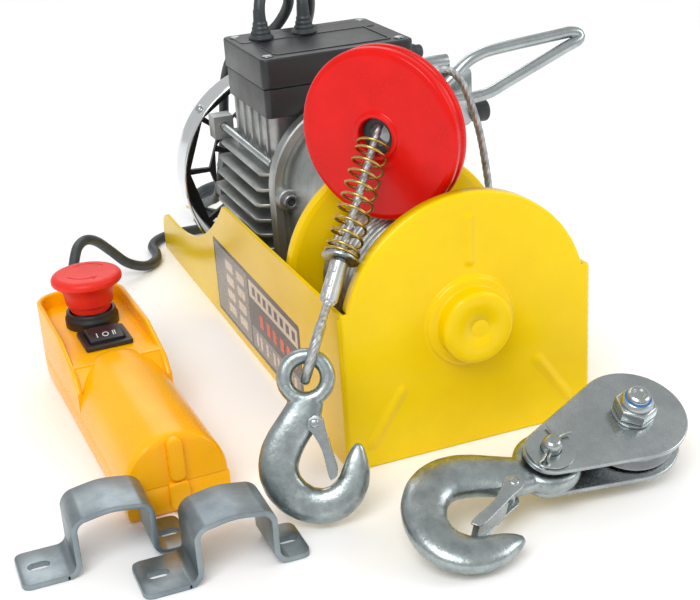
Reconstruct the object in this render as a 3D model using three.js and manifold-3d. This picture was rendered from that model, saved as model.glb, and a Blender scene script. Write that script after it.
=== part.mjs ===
// Electric wire rope hoist, shown standing on its mounting face, with its pendant control, its two
// mounting straps and its loose pulley block. Millimetres, +Z up. The origin is the middle of the
// underside of the sheet-steel frame; the drum and motor axes run along Y and the motor is at +Y.
import * as THREE from 'three';
import { mergeVertices } from 'three/addons/utils/BufferGeometryUtils.js';
import Module from 'manifold-3d';

const wasm = await Module();
wasm.setup();

// ---- driving dimensions -------------------------------------------------------------------
const GAP = 0.3;                 // clearance between pieces that touch
const SHEET = 2.5;               // frame sheet steel
const FRAME_LENGTH = 407;
const HALF_WIDTH = 75;           // half the outside width of the frame
const WALL_HEIGHT = 94;
const DRUM_Z = 76;               // height of the drum axis
const PLATE_RADIUS = 73;         // round top of the front end plate
const DRUM_RADIUS = 45;
const WINDING_RADIUS = 51.5;      // outside of the wound rope
const FLANGE_RADIUS = 71;        // rear flange of the drum
const FLANGE_Y = 95.3;
const RING_TEETH = 50;           // teeth are 2 mm per tooth on the pitch diameter
const SMALL_PINION_TEETH = 10;
const LARGE_GEAR_TEETH = 28;
const MOTOR_PINION_TEETH = 8;
const LAYSHAFT_Z = DRUM_Z + RING_TEETH - SMALL_PINION_TEETH;
const MOTOR_Z = LAYSHAFT_Z - LARGE_GEAR_TEETH - MOTOR_PINION_TEETH;
const HOUSING_Y = 175.5;         // joint face between gearbox and motor
const HOUSING_HALF = 54.5;
const HOUSING_ARCH_Z = 110;
const MOTOR_END = 281;
const COVER_RADIUS = 77.5;
const BOX_BOTTOM = 155.5;
const BOX_SPLIT = 174;
const BOX_TOP = 194;
const BOX_HALF = 51.5;
const BOX_FRONT = 176;
const BOX_BACK = 262;
const CABLE = 7.5;               // pendant and mains cable diameter
const ROPE = 4.6;                // wire rope diameter
const VIEW_YAW = THREE.MathUtils.degToRad(20.2);
const HOOK_LEAN = THREE.MathUtils.degToRad(22.9);
const HOOK_ROLL = THREE.MathUtils.degToRad(-3.8);
const EYE = new THREE.Vector3(-101.8, -16.8, 72.6);    // eye centre of the rope hook
const ROPE_RISE = new THREE.Vector3(0.515, 0.458, 0.723).normalize();
const DISC_HOLE = new THREE.Vector3(-30.2, 46.9, 173.2);
const DISC_TURN = THREE.MathUtils.degToRad(37.3);      // heading of the stop disc's axis
const PENDANT_X = -170;
const PENDANT_Y = 4;
const PENDANT_TURN = THREE.MathUtils.degToRad(2);
const STRAP = 3;                 // thickness of the mounting straps
const BLOCK_CENTRE = new THREE.Vector3(57.6, -69.7, 28.8);
const BLOCK_TILT = THREE.MathUtils.degToRad(22);
const BLOCK_HEADING = THREE.MathUtils.degToRad(190);
const BLOCK_HOOK_TURN = THREE.MathUtils.degToRad(1);
const BLOCK_HOOK_SIZE = 1.18;     // against the hook on the rope

const YELLOW = 0xf2cf00;
const ZINC = 0xb9bfc1;
const ALUMINIUM = 0xa9adad;
const BLACK = 0x1d2021;
const STEEL = 0x8d9193;

// ---- solids -------------------------------------------------------------------------------
// A closed geometry as a manifold solid, turned right side out.
function solid(geometry) {
  const bare = geometry.clone();
  bare.deleteAttribute('normal');
  bare.deleteAttribute('uv');
  const merged = mergeVertices(bare, 1e-4);
  const place = merged.attributes.position;
  const kept = [];
  let volume = 0;
  const corner = [new THREE.Vector3(), new THREE.Vector3(), new THREE.Vector3()];
  for (let i = 0; i < merged.index.count; i += 3) {
    const tri = [0, 1, 2].map((k) => merged.index.getX(i + k));
    if (new Set(tri).size < 3) continue;
    tri.forEach((v, k) => corner[k].fromBufferAttribute(place, v));
    volume += corner[0].dot(corner[1].clone().cross(corner[2]));
    kept.push(tri);
  }
  if (volume < 0) kept.forEach((tri) => tri.reverse());
  const mesh = new wasm.Mesh({
    numProp: 3,
    vertProperties: new Float32Array(place.array),
    triVerts: new Uint32Array(kept.flat()),
  });
  return new wasm.Manifold(mesh);
}

const join = (first, ...others) => others.reduce((sum, next) => sum.add(next), first);
const cut = (first, ...others) => others.reduce((left, next) => left.subtract(next), first);

function toGeometry(manifold) {
  const mesh = manifold.getMesh();
  const geometry = new THREE.BufferGeometry();
  geometry.setAttribute('position', new THREE.BufferAttribute(mesh.vertProperties, 3));
  geometry.setIndex(new THREE.BufferAttribute(mesh.triVerts, 1));
  geometry.computeVertexNormals();
  return geometry;
}

const puller = new THREE.Group();
puller.position.y = -FRAME_LENGTH / 2;

function piece(name, manifold, color, roughness, metalness, parent = puller) {
  const material = new THREE.MeshStandardMaterial({ color, roughness, metalness });
  const mesh = new THREE.Mesh(toGeometry(manifold), material);
  mesh.name = name;
  parent.add(mesh);
  return mesh;
}

function box(x0, x1, y0, y1, z0, z1) {
  const geometry = new THREE.BoxGeometry(x1 - x0, y1 - y0, z1 - z0);
  return solid(geometry.translate((x0 + x1) / 2, (y0 + y1) / 2, (z0 + z1) / 2));
}

// Revolved profile of [radius, y] pairs about the Y axis, moved to (x, z).
function lathe(profile, x = 0, z = 0, sides = 32) {
  const points = profile.map(([r, y]) => new THREE.Vector2(r, y));
  const onAxis = profile[0][0] === 0 && profile.at(-1)[0] === 0;
  if (!onAxis) points.push(points[0].clone());
  return solid(new THREE.LatheGeometry(points, sides).translate(x, 0, z));
}

const rod = (radius, y0, y1, x = 0, z = 0, sides = 20) =>
  lathe([[0, y0], [radius, y0], [radius, y1], [0, y1]], x, z, sides);

const ring = (inner, outer, y0, y1, x = 0, z = 0, sides = 32) =>
  lathe([[inner, y0], [outer, y0], [outer, y1], [inner, y1]], x, z, sides);

function extrude(shape, depth, extra = {}) {
  const settings = { depth, bevelEnabled: false, curveSegments: 8, steps: 1, ...extra };
  return new THREE.ExtrudeGeometry(shape, settings);
}

// Outline drawn as (x, z) and carried along Y, as (y, z) along X, or as (x, y) along Z.
const prismY = (shape, y0, y1, extra) =>
  solid(extrude(shape, y1 - y0, extra).rotateX(Math.PI / 2).translate(0, y1, 0));
const prismX = (shape, x0, x1, extra) =>
  solid(extrude(shape, x1 - x0, extra).rotateX(Math.PI / 2).rotateZ(Math.PI / 2).translate(x0, 0, 0));
const prismZ = (shape, z0, z1, extra) => solid(extrude(shape, z1 - z0, extra).translate(0, 0, z0));

const outline = (points) => new THREE.Shape(points.map(([x, y]) => new THREE.Vector2(x, y)));

function circleShape(radius, x = 0, y = 0) {
  const shape = new THREE.Shape();
  shape.absarc(x, y, radius, 0, 2 * Math.PI, false);
  return shape;
}

// Long hole or bar with round ends between two points.
function capsule(x0, y0, x1, y1, radius) {
  const along = Math.atan2(y1 - y0, x1 - x0);
  const shape = new THREE.Shape();
  shape.absarc(x1, y1, radius, along - Math.PI / 2, along + Math.PI / 2, false);
  shape.absarc(x0, y0, radius, along + Math.PI / 2, along + 1.5 * Math.PI, false);
  return shape;
}

// Round bar of the given radius along a smooth path.
function tube(points, radius, steps, sides = 8) {
  const path = new THREE.CatmullRomCurve3(points.map((p) => new THREE.Vector3(...p)), false, 'centripetal');
  const section = outline(Array.from({ length: sides }, (_, i) => {
    const angle = (2 * Math.PI * i) / sides;
    return [radius * Math.cos(angle), radius * Math.sin(angle)];
  }));
  return solid(new THREE.ExtrudeGeometry(section, { steps, extrudePath: path, bevelEnabled: false }));
}

// ---- frame --------------------------------------------------------------------------------
const SCOOP = { y: 370, z: 259, radius: 227, start: 218 };

function wallShape() {
  const front = SHEET + GAP;
  const scoopAngle = -Math.acos((SCOOP.start - SCOOP.y) / SCOOP.radius);
  const shape = new THREE.Shape();
  shape.moveTo(front, 0);
  shape.lineTo(FRAME_LENGTH, 0);
  shape.absarc(FRAME_LENGTH - 17, SCOOP.z - SCOOP.radius - 17, 17, 0, Math.PI / 2, false);
  shape.absarc(SCOOP.y, SCOOP.z, SCOOP.radius, -Math.PI / 2, scoopAngle, true);
  shape.lineTo(front, WALL_HEIGHT);
  return shape;
}

function makeFrame() {
  const base = box(-HALF_WIDTH, HALF_WIDTH, SHEET + GAP, FRAME_LENGTH, 0, SHEET);
  const walls = [-HALF_WIDTH, HALF_WIDTH - SHEET].map((x) => prismX(wallShape(), x, x + SHEET));
  const holes = [[-40, 60], [40, 60], [-40, 345], [40, 345]].map(([x, y]) =>
    prismZ(capsule(x - 4, y, x + 4, y, 4.5), -1, SHEET + 1, { curveSegments: 4 }));
  piece('frame_channel', cut(join(base, ...walls), ...holes), YELLOW, 0.3, 0);
}

function makeFrontPlate() {
  const shoulder = Math.asin((WALL_HEIGHT - DRUM_Z) / PLATE_RADIUS);
  const face = new THREE.Shape();
  face.moveTo(-HALF_WIDTH, 0);
  face.lineTo(HALF_WIDTH, 0);
  face.lineTo(HALF_WIDTH, WALL_HEIGHT);
  face.absarc(0, DRUM_Z, PLATE_RADIUS, shoulder, Math.PI - shoulder, false);
  face.lineTo(-HALF_WIDTH, WALL_HEIGHT);
  const lip = new THREE.Shape();
  lip.absarc(0, DRUM_Z, PLATE_RADIUS, shoulder, Math.PI - shoulder, false);
  lip.absarc(0, DRUM_Z, PLATE_RADIUS - SHEET, Math.PI - shoulder, shoulder, true);
  const cup = lathe([[0, -13], [18.7, -13], [20.7, -11], [20.7, -3], [24, -3], [26, -1.5], [26, SHEET],
    [23.5, SHEET], [23.5, -0.6], [18.4, -0.6], [18.4, -10.8], [0, -10.8]], 0, DRUM_Z, 24);
  const ribs = [[0, 111, 0, 135], [-41, 42, -60, 14], [41, 42, 60, 14]].map(([x0, z0, x1, z1]) =>
    prismY(capsule(x0, z0, x1, z1, 2.6), -1.2, 1, { curveSegments: 2 }));
  const round = { curveSegments: 12 };
  const plate = cut(prismY(face, 0, SHEET, round), rod(25, -1, 5, 0, DRUM_Z, 24));
  piece('front_end_plate', join(plate, prismY(lip, 1, 8, round), cup, ...ribs), YELLOW, 0.3, 0);
}

// ---- drum and gear train ------------------------------------------------------------------
// Straight-flanked tooth outline with one tooth centred on the phase angle.
function gearOutline(teeth, phase, inward = 1) {
  const step = (2 * Math.PI) / teeth;
  const tip = teeth + 0.8 * inward;
  const root = teeth - 1.4 * inward;
  const points = [];
  for (let i = 0; i < teeth; i += 1) {
    const middle = phase + i * step;
    [[root, -0.28], [tip, -0.14], [tip, 0.14], [root, 0.28]].forEach(([radius, part]) => {
      const angle = middle + part * step;
      points.push([radius * Math.cos(angle), radius * Math.sin(angle)]);
    });
  }
  return outline(points);
}

const gear = (teeth, phase, y0, y1, z) => prismY(gearOutline(teeth, phase), y0, y1).translate([0, 0, z]);

function makeDrum() {
  const barrel = [[0, -9.5], [7.1, -9.5], [7.1, 6], [DRUM_RADIUS, 6], [DRUM_RADIUS, FLANGE_Y - GAP],
    [41.5, FLANGE_Y - GAP], [41.5, 9.5], [0, 9.5]];
  piece('drum_barrel', lathe(barrel, 0, DRUM_Z), STEEL, 0.5, 0.8);
  const flange = [[30, FLANGE_Y], [68.5, FLANGE_Y], [FLANGE_RADIUS, FLANGE_Y + 2.5],
    [FLANGE_RADIUS, FLANGE_Y + 8], [68.5, FLANGE_Y + 8], [68.5, FLANGE_Y + SHEET], [30, FLANGE_Y + SHEET]];
  piece('drum_rear_flange', lathe(flange, 0, DRUM_Z, 32), YELLOW, 0.3, 0);
  const winding = [[DRUM_RADIUS + GAP, 11], [49.5, 11], [WINDING_RADIUS, 15], [WINDING_RADIUS, 88],
    [49.5, 93], [DRUM_RADIUS + GAP, 93]];
  piece('rope_winding', lathe(winding, 0, DRUM_Z, 30), STEEL, 0.5, 0.8);
  piece('front_bearing', ring(7.5, 17.9, -9.3, -1, 0, DRUM_Z, 24), STEEL, 0.3, 1);
  const ringShape = circleShape(57);
  ringShape.holes.push(gearOutline(RING_TEETH, Math.PI / 2 + Math.PI / RING_TEETH, -1));
  const ringGear = prismY(ringShape, 98.1, 108, { curveSegments: 12 }).translate([0, 0, DRUM_Z]);
  piece('drum_ring_gear', ringGear, STEEL, 0.4, 1);
}

function makeGearTrain() {
  const shaft = rod(4.2, 99, 128, 0, LAYSHAFT_Z, 16);
  const pinion = gear(SMALL_PINION_TEETH, Math.PI / 2, 99, 107.5, LAYSHAFT_Z);
  const large = gear(LARGE_GEAR_TEETH, -Math.PI / 2, 121, 127, LAYSHAFT_Z);
  piece('intermediate_gear', join(shaft, pinion, large), STEEL, 0.4, 1);
  const space = Math.PI / 2 + Math.PI / MOTOR_PINION_TEETH;
  const motorPinion = gear(MOTOR_PINION_TEETH, space, 120.5, 129, MOTOR_Z);
  piece('motor_shaft', join(motorPinion, rod(5, 125, 325, 0, MOTOR_Z, 16)), STEEL, 0.3, 1);
  piece('rotor', ring(5.4, 26, 190, 250, 0, MOTOR_Z, 24), STEEL, 0.5, 1);
}

// ---- gearbox housing and motor ------------------------------------------------------------
// Upright outline with a round top: straight sides from the foot up to the arch.
function archShape(half, foot, archZ) {
  const shape = new THREE.Shape();
  shape.moveTo(-half, foot);
  shape.lineTo(half, foot);
  shape.absarc(0, archZ, half, 0, Math.PI, false);
  return shape;
}

const CAP_SCREW = { x: -46, z: 107 };

function makeGearbox() {
  const foot = SHEET + GAP;
  const round = { curveSegments: 9 };
  const flange = prismY(archShape(HOUSING_HALF, foot, HOUSING_ARCH_Z), 168, HOUSING_Y, round);
  const band = cut(prismY(archShape(HOUSING_HALF, foot, HOUSING_ARCH_Z), 165, 169, round),
    prismY(archShape(HOUSING_HALF - 7, foot - 5, HOUSING_ARCH_Z), 160, 170, round));
  const domeBevel = { bevelEnabled: true, bevelThickness: 9, bevelSize: 8, bevelSegments: 2, curveSegments: 8 };
  const dome = prismY(capsule(0, MOTOR_Z, 0, HOUSING_ARCH_Z, 36), 121, 162, domeBevel);
  const boss = rod(7, 160, 169, CAP_SCREW.x, CAP_SCREW.z, 16);
  const cavity = prismY(capsule(0, MOTOR_Z, 0, HOUSING_ARCH_Z, 38), 119, 180);
  const bores = [rod(4.6, 100, 130, 0, LAYSHAFT_Z, 16), rod(3.3, 150, 180, CAP_SCREW.x, CAP_SCREW.z, 12)];
  piece('gearbox_housing', cut(join(flange, band, dome, boss), cavity, ...bores), ALUMINIUM, 0.5, 0.9);
}

const FIN_HEIGHTS = [118, 108, 98, 88, 78, 68, 58, 48];
const finTip = (z) => 61.5 - 0.0045 * (z - MOTOR_Z) ** 2;
const TIE_BOLT = { x: 50.5, z: 127 };

function makeMotor() {
  const bore = rod(40.4, 170, 290, 0, MOTOR_Z, 32);
  const front = HOUSING_Y + GAP;
  const tubeBody = rod(46, front, MOTOR_END, 0, MOTOR_Z, 32);
  const pedestal = box(-45, 45, 192, 250, 112, BOX_BOTTOM - GAP);
  const fins = FIN_HEIGHTS.flatMap((z) => [-1, 1].map((side) => {
    const tip = finTip(z);
    const plan = outline([[30, 182], [tip - 7, 182], [tip, 189], [tip, 272], [tip - 5, 278], [30, 278]]);
    const fin = prismZ(plan, z - 1.2, z + 1.2);
    return side > 0 ? fin : fin.mirror([1, 0, 0]);
  }));
  piece('motor_housing', cut(join(tubeBody, pedestal, ...fins), bore), ALUMINIUM, 0.55, 0.9);
  piece('stator', ring(26.8, 40, 186, 262, 0, MOTOR_Z, 24), STEEL, 0.6, 0.8);
}

function makeEndShield() {
  const lugs = 18;
  const points = [];
  for (let i = 0; i < lugs; i += 1) {
    [[49, -0.5], [49, -0.28], [58, -0.2], [58, 0.2], [49, 0.28]].forEach(([radius, part]) => {
      const angle = (2 * Math.PI * (i + part)) / lugs;
      points.push([radius * Math.cos(angle), radius * Math.sin(angle)]);
    });
  }
  const rim = prismY(outline(points), MOTOR_END + GAP, 293).translate([0, 0, MOTOR_Z]);
  const blocks = [-1, 1].map((side) => box(side * TIE_BOLT.x - 7, side * TIE_BOLT.x + 7, MOTOR_END + GAP, 295,
    TIE_BOLT.z - 9, TIE_BOLT.z + 7));
  const link = box(-46, 46, MOTOR_END + GAP, 290, 108, 122);
  const bores = [rod(5.6, 270, 300, 0, MOTOR_Z, 16)];
  [-1, 1].forEach((side) => bores.push(rod(2.9, 270, 300, side * TIE_BOLT.x, TIE_BOLT.z, 12)));
  piece('rear_end_shield', cut(join(rim, link, ...blocks), ...bores), ALUMINIUM, 0.5, 0.9);
  [['tie_bolt_left', -1], ['tie_bolt_right', 1]].forEach(([name, side]) => {
    const bolt = lathe([[0, 176], [2.5, 176], [2.5, 295.3], [4.5, 295.3], [4.5, 299], [0, 299]],
      side * TIE_BOLT.x, TIE_BOLT.z, 12);
    piece(name, bolt, STEEL, 0.3, 1);
  });
}

function makeFan() {
  const hub = ring(5.4, 12, 300, 314, 0, MOTOR_Z, 16);
  const blades = Array.from({ length: 6 }, (_, i) => {
    const blade = box(10, 42, 300, 313, -1.2, 1.2);
    return blade.rotate([0, i * 60, 0]).translate([0, 0, MOTOR_Z]);
  });
  const bore = rod(5.4, 290, 320, 0, MOTOR_Z, 16);
  piece('cooling_fan', cut(join(hub, ...blades), bore), BLACK, 0.6, 0);
  const wall = [[COVER_RADIUS - 1.5, 306], [COVER_RADIUS, 306], [COVER_RADIUS, 331], [COVER_RADIUS - 3, 338],
    [COVER_RADIUS - 9, 342], [COVER_RADIUS - 9, 340.5], [COVER_RADIUS - 4.2, 337], [COVER_RADIUS - 1.5, 330]];
  piece('fan_cover', lathe(wall, 0, MOTOR_Z, 32), ZINC, 0.1, 1);
  const disc = circleShape(71);
  const sectors = 10;
  [[16, 30], [33, 48], [51, 66]].forEach(([inner, outer], row) => {
    for (let i = 0; i < sectors; i += 1) {
      const start = ((i + (row % 2) * 0.5) * 2 * Math.PI) / sectors;
      const end = start + (2 * Math.PI) / sectors - 3 / inner;
      const corners = [[inner, start], [outer, start], [outer, end], [inner, end]];
      disc.holes.push(outline(corners.map(([r, a]) => [r * Math.cos(a), r * Math.sin(a)])));
    }
  });
  const grille = prismY(disc, 331.5, 335, { curveSegments: 12 }).translate([0, 0, MOTOR_Z]);
  piece('fan_grille', grille, BLACK, 0.6, 0);
}

// ---- control box --------------------------------------------------------------------------
const GROMMETS = [['pendant_grommet', -31.6, 236.6], ['mains_grommet', -1.5, 236.3]];

function makeControlBox() {
  const wall = 2.2;
  const low = cut(box(-BOX_HALF + 1, BOX_HALF - 1, BOX_FRONT + 1, BOX_BACK - 1, BOX_BOTTOM, BOX_SPLIT),
    box(-BOX_HALF + wall + 1, BOX_HALF - wall - 1, BOX_FRONT + wall + 1, BOX_BACK - wall - 1,
      BOX_BOTTOM + wall, BOX_SPLIT + 1));
  piece('box_base', low, BLACK, 0.5, 0);
  const shell = cut(box(-BOX_HALF, BOX_HALF, BOX_FRONT, BOX_BACK, BOX_SPLIT + GAP, BOX_TOP),
    box(-BOX_HALF + wall, BOX_HALF - wall, BOX_FRONT + wall, BOX_BACK - wall, BOX_SPLIT - 1, BOX_TOP - wall));
  const holes = [[-12, 252], [44.5, 219], [-14, 181]].map(([x, y]) =>
    prismZ(circleShape(2.6, x, y), BOX_TOP - 4, BOX_TOP + 1, { curveSegments: 4 }));
  const glands = GROMMETS.map(([, x, y]) => prismZ(circleShape(5.5, x, y), BOX_TOP - 4, BOX_TOP + 1));
  piece('box_lid', cut(shell, ...holes, ...glands), BLACK, 0.5, 0);
  GROMMETS.forEach(([name, x, y]) => {
    const body = lathe([[4.1, -3], [5.2, -3], [5.2, GAP], [7.2, GAP], [6.4, 1.8], [4.1, 1.8]], 0, 0, 16);
    piece(name, body.rotate([90, 0, 0]).translate([x, y, BOX_TOP]), BLACK, 0.6, 0);
  });
  const can = rod(13, -30, 30, 0, 0, 20).rotate([0, 0, 90]).translate([8, 205, 175]);
  piece('motor_capacitor', can, 0xd8d8d4, 0.4, 0);
  piece('limit_switch', box(26, 46, 222, 250, 160, 178), BLACK, 0.5, 0);
}

// ---- limit lever --------------------------------------------------------------------------
const LEVER_Y = 121.9;
const LEVER_HUB = { x: 38, z: 169 };

function makeLever() {
  const path = [[LEVER_HUB.x + 3, 118.5, 167], [50, 118, 165.3], [62, 118, 165.3], [75, 118.5, 166.5],
    [88, 119, 171], [130, 120, 187], [137, 121, 189.7], [140, LEVER_Y, 191.8], [137, 123, 194.6],
    [128, 124, 194.5], [82, 125, 191.2], [70, 125.3, 188.8], [60, 125.5, 183], [LEVER_HUB.x + 4, 125, 171.5]];
  const hub = ring(3.3, 8, 113, 130.5, LEVER_HUB.x, LEVER_HUB.z, 16);
  const bore = rod(3.3, 100, 140, LEVER_HUB.x, LEVER_HUB.z, 16);
  piece('limit_lever', cut(join(tube(path, 3.4, 30), hub), bore), ZINC, 0.3, 1);
  const arm = box(30, 44, 134, 165 - GAP, 144, 147);
  const upright = box(30, 70, 132, 135, 144, 181.5);
  const pivot = rod(3, 111, 133, LEVER_HUB.x, LEVER_HUB.z, 16);
  const stud = rod(3, -1, 8, 0, 0, 12).rotate([0, 0, -90]).translate([70, 133.5, 152]);
  piece('lever_bracket', join(arm, upright, pivot, stud), ZINC, 0.4, 1);
  const sleeve = rod(4.6, -12, 12, 0, 0, 20).rotate([0, 0, 90]).translate([42, 133.5, 186.4]);
  piece('lever_sleeve', sleeve, ZINC, 0.3, 1);
  const cap = ring(GAP + 3, 7, 0, 10, 0, 0, 20).rotate([0, 0, -90]).translate([70.4, 133.5, 152]);
  piece('rubber_buffer', cap, BLACK, 0.7, 0);
}

// ---- rope, stop disc and hook -------------------------------------------------------------
const alongRope = (distance) => EYE.clone().addScaledVector(ROPE_RISE, distance);
const FERRULE = { start: 41.5, end: 65.5 };
const HOLE_DISTANCE = DISC_HOLE.distanceTo(EYE);

// Group whose local Y runs up the straight stretch of the rope from the hook's eye.
function ropeGroup() {
  const group = new THREE.Group();
  group.position.copy(EYE);
  group.quaternion.setFromUnitVectors(new THREE.Vector3(0, 1, 0), ROPE_RISE);
  puller.add(group);
  return group;
}

function makeRope() {
  const lift = (p) => [p.x, p.y, p.z];
  const points = [[54.3, 75, 77], [54.1, 75, 92], [53, 76, 110], [51, 77, 132], [47.5, 78, 156],
    [42, 79, 176], [36, 79, 189], [26, 77.5, 196.5], [14, 74, 195], [2, 68.5, 189], [-9, 62, 184],
    [-18.6, 56.4, 180.2], [-23.2, 52.6, 179.4], [-27.4, 49.2, 176.5], lift(alongRope(HOLE_DISTANCE - 4)),
    lift(alongRope(HOLE_DISTANCE - 14)), lift(alongRope(110)), lift(alongRope(88)),
    lift(alongRope(FERRULE.end + GAP))];
  piece('rope_free', tube(points, ROPE / 2, 26), STEEL, 0.4, 0.9);
}

function makeRopeEnd() {
  const group = ropeGroup();
  const ferrule = lathe([[0, FERRULE.start], [4.4, FERRULE.start], [4.8, FERRULE.start + 1.5],
    [4.8, FERRULE.end - 1], [4.4, FERRULE.end], [0, FERRULE.end]], 0, 0, 20);
  piece('ferrule', ferrule, 0xc9cbc9, 0.35, 1, group);
  piece('spring_washer', ring(2.9, 10.3, FERRULE.end + 0.6, FERRULE.end + 1.8, 0, 0, 24), ZINC, 0.3, 1, group);
  const turns = 8.6;
  const start = FERRULE.end + 3;
  const end = 128;
  const helix = Array.from({ length: Math.round(turns * 10) + 1 }, (_, i) => {
    const part = i / Math.round(turns * 10);
    const angle = 2 * Math.PI * turns * part;
    return [8 * Math.cos(angle), start + (end - start) * part, 8 * Math.sin(angle)];
  });
  piece('compression_spring', tube(helix, 0.8, 72, 5), 0xb9a24c, 0.3, 1, group);
}

// Both legs of the rope eye, bent round the hook's eye, with the thimble that lines it.
function makeThimble() {
  const normal = new THREE.Vector3(0, 0, 1).applyQuaternion(hookTurn());
  const side = normal.clone().projectOnPlane(ROPE_RISE).normalize();
  const flat = ROPE_RISE.clone().projectOnPlane(normal).normalize();
  const legs = [[38, 3.3], [28, 6], [17, 9], [9, 9], [2, 6], [-0.6, 0]];
  const all = [...legs, ...legs.slice(0, -1).reverse().map(([s, w]) => [s, -w])];
  const points = all.map(([s, w]) => {
    const straight = THREE.MathUtils.clamp((s - 17) / 21, 0, 1);
    const along = flat.clone().lerp(ROPE_RISE, straight).normalize();
    const p = EYE.clone().addScaledVector(along, s).addScaledVector(side, w);
    return [p.x, p.y, p.z];
  });
  piece('thimble', tube(points, 2.6, 22), ZINC, 0.3, 1);
}

function hookTurn() {
  const frame = new THREE.Object3D();
  frame.rotateZ(-VIEW_YAW);
  frame.rotateX(Math.PI / 2 - HOOK_LEAN);
  frame.rotateZ(HOOK_ROLL);
  return frame.quaternion;
}

// Forged eye hook drawn in its own plane, with the centre of the eye at the origin.
function hookShape(eyeHole) {
  const outer = [[-8.6, -12.9], [-12.8, -21.1], [-19.6, -31.4], [-23.4, -40.4], [-24.1, -48.6],
    [-21, -58.5], [-13.5, -68], [-3, -74], [9.2, -75.4], [18.9, -72.7], [27.1, -66.5], [31.9, -56.9],
    [32.3, -49], [30.8, -40.4], [29.2, -34], [26.4, -31.8], [23, -34.2], [20.2, -40.4], [17.6, -47],
    [13.8, -53.5], [9, -56.6], [3.7, -56.4], [-1.1, -52.8], [-3.8, -47.2], [-3.5, -40.4], [-0.8, -33.5],
    [5, -26], [8.9, -19.1], [9.9, -12.9]];
  const curve = new THREE.SplineCurve(outer.map(([x, y]) => new THREE.Vector2(x, y)));
  const eyeStart = Math.atan2(-12.9, 9.9);
  const eyeEnd = Math.atan2(-12.9, -8.6);
  const shape = new THREE.Shape(curve.getPoints(38));
  shape.absarc(0, 0, 15, eyeStart, eyeEnd, false);
  const hole = new THREE.Path();
  hole.absarc(0, 0, eyeHole, 0, 2 * Math.PI, true);
  shape.holes.push(hole);
  return shape;
}

// Sheet latch across the hook's mouth: two cheeks beside the neck and a strip between them.
function makeLatch(name, group, size) {
  const cheek = outline([[1.2, -20.6], [4.8, -18.6], [8.6, -20.6], [9.8, -26], [15.8, -48], [12.2, -51],
    [8.4, -36], [3.4, -28], [0.8, -24.5]]);
  const strip = outline([[9, -34], [11.4, -33.4], [14, -48.5], [12.4, -50.4]]);
  const sides = [5.3, -6.7].map((z) => prismZ(cheek, z, z + 1.4));
  return piece(name, join(prismZ(strip, -6, 6), ...sides).scale([size, size, 1]), ZINC, 0.35, 1, group);
}

function makeHook(name, latchName, group, eyeHole, size = 1) {
  const rounding = { bevelEnabled: true, bevelThickness: 2, bevelSize: 2, bevelOffset: -2,
    bevelSegments: 1, curveSegments: 6 };
  const forging = prismZ(hookShape(eyeHole), -3, 3, rounding).scale([size, size, 1]);
  piece(name, forging, ZINC, 0.35, 1, group);
  makeLatch(latchName, group, size);
}

function makeRopeHook() {
  const group = new THREE.Group();
  group.position.copy(EYE);
  group.quaternion.copy(hookTurn());
  puller.add(group);
  makeHook('rope_hook', 'rope_hook_latch', group, 6.9);
}

function makeStopDisc() {
  const group = new THREE.Group();
  group.position.copy(DISC_HOLE);
  group.rotation.z = DISC_TURN - Math.PI / 2;
  puller.add(group);
  const profile = [[10.4, -1.5], [13, -1.5], [14, 0], [46, 0], [48.5, 2.5], [48.5, 5.5], [45.5, 7.5],
    [48.5, 9.5], [48.5, 12.5], [46, 15], [12.5, 15], [10.4, 13]];
  piece('stop_disc', lathe(profile, 0, 0, 32), 0xd41408, 0.3, 0, group);
}

// ---- pendant control ----------------------------------------------------------------------
const TRAY_START = 101;          // distance from the lower end to the switch tray
const PENDANT_LENGTH = 218;
const TRAY_FLOOR = 44;
const SEAM = 18;
const ESTOP_Y = 175;
const ROCKER_Y = 143.5;

function bodySection(low, high) {
  const shape = new THREE.Shape();
  shape.moveTo(-26, low);
  shape.lineTo(26, low);
  shape.lineTo(28.5, low === 0 ? 8 : low);
  shape.lineTo(28.5, high);
  return shape;
}

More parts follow.
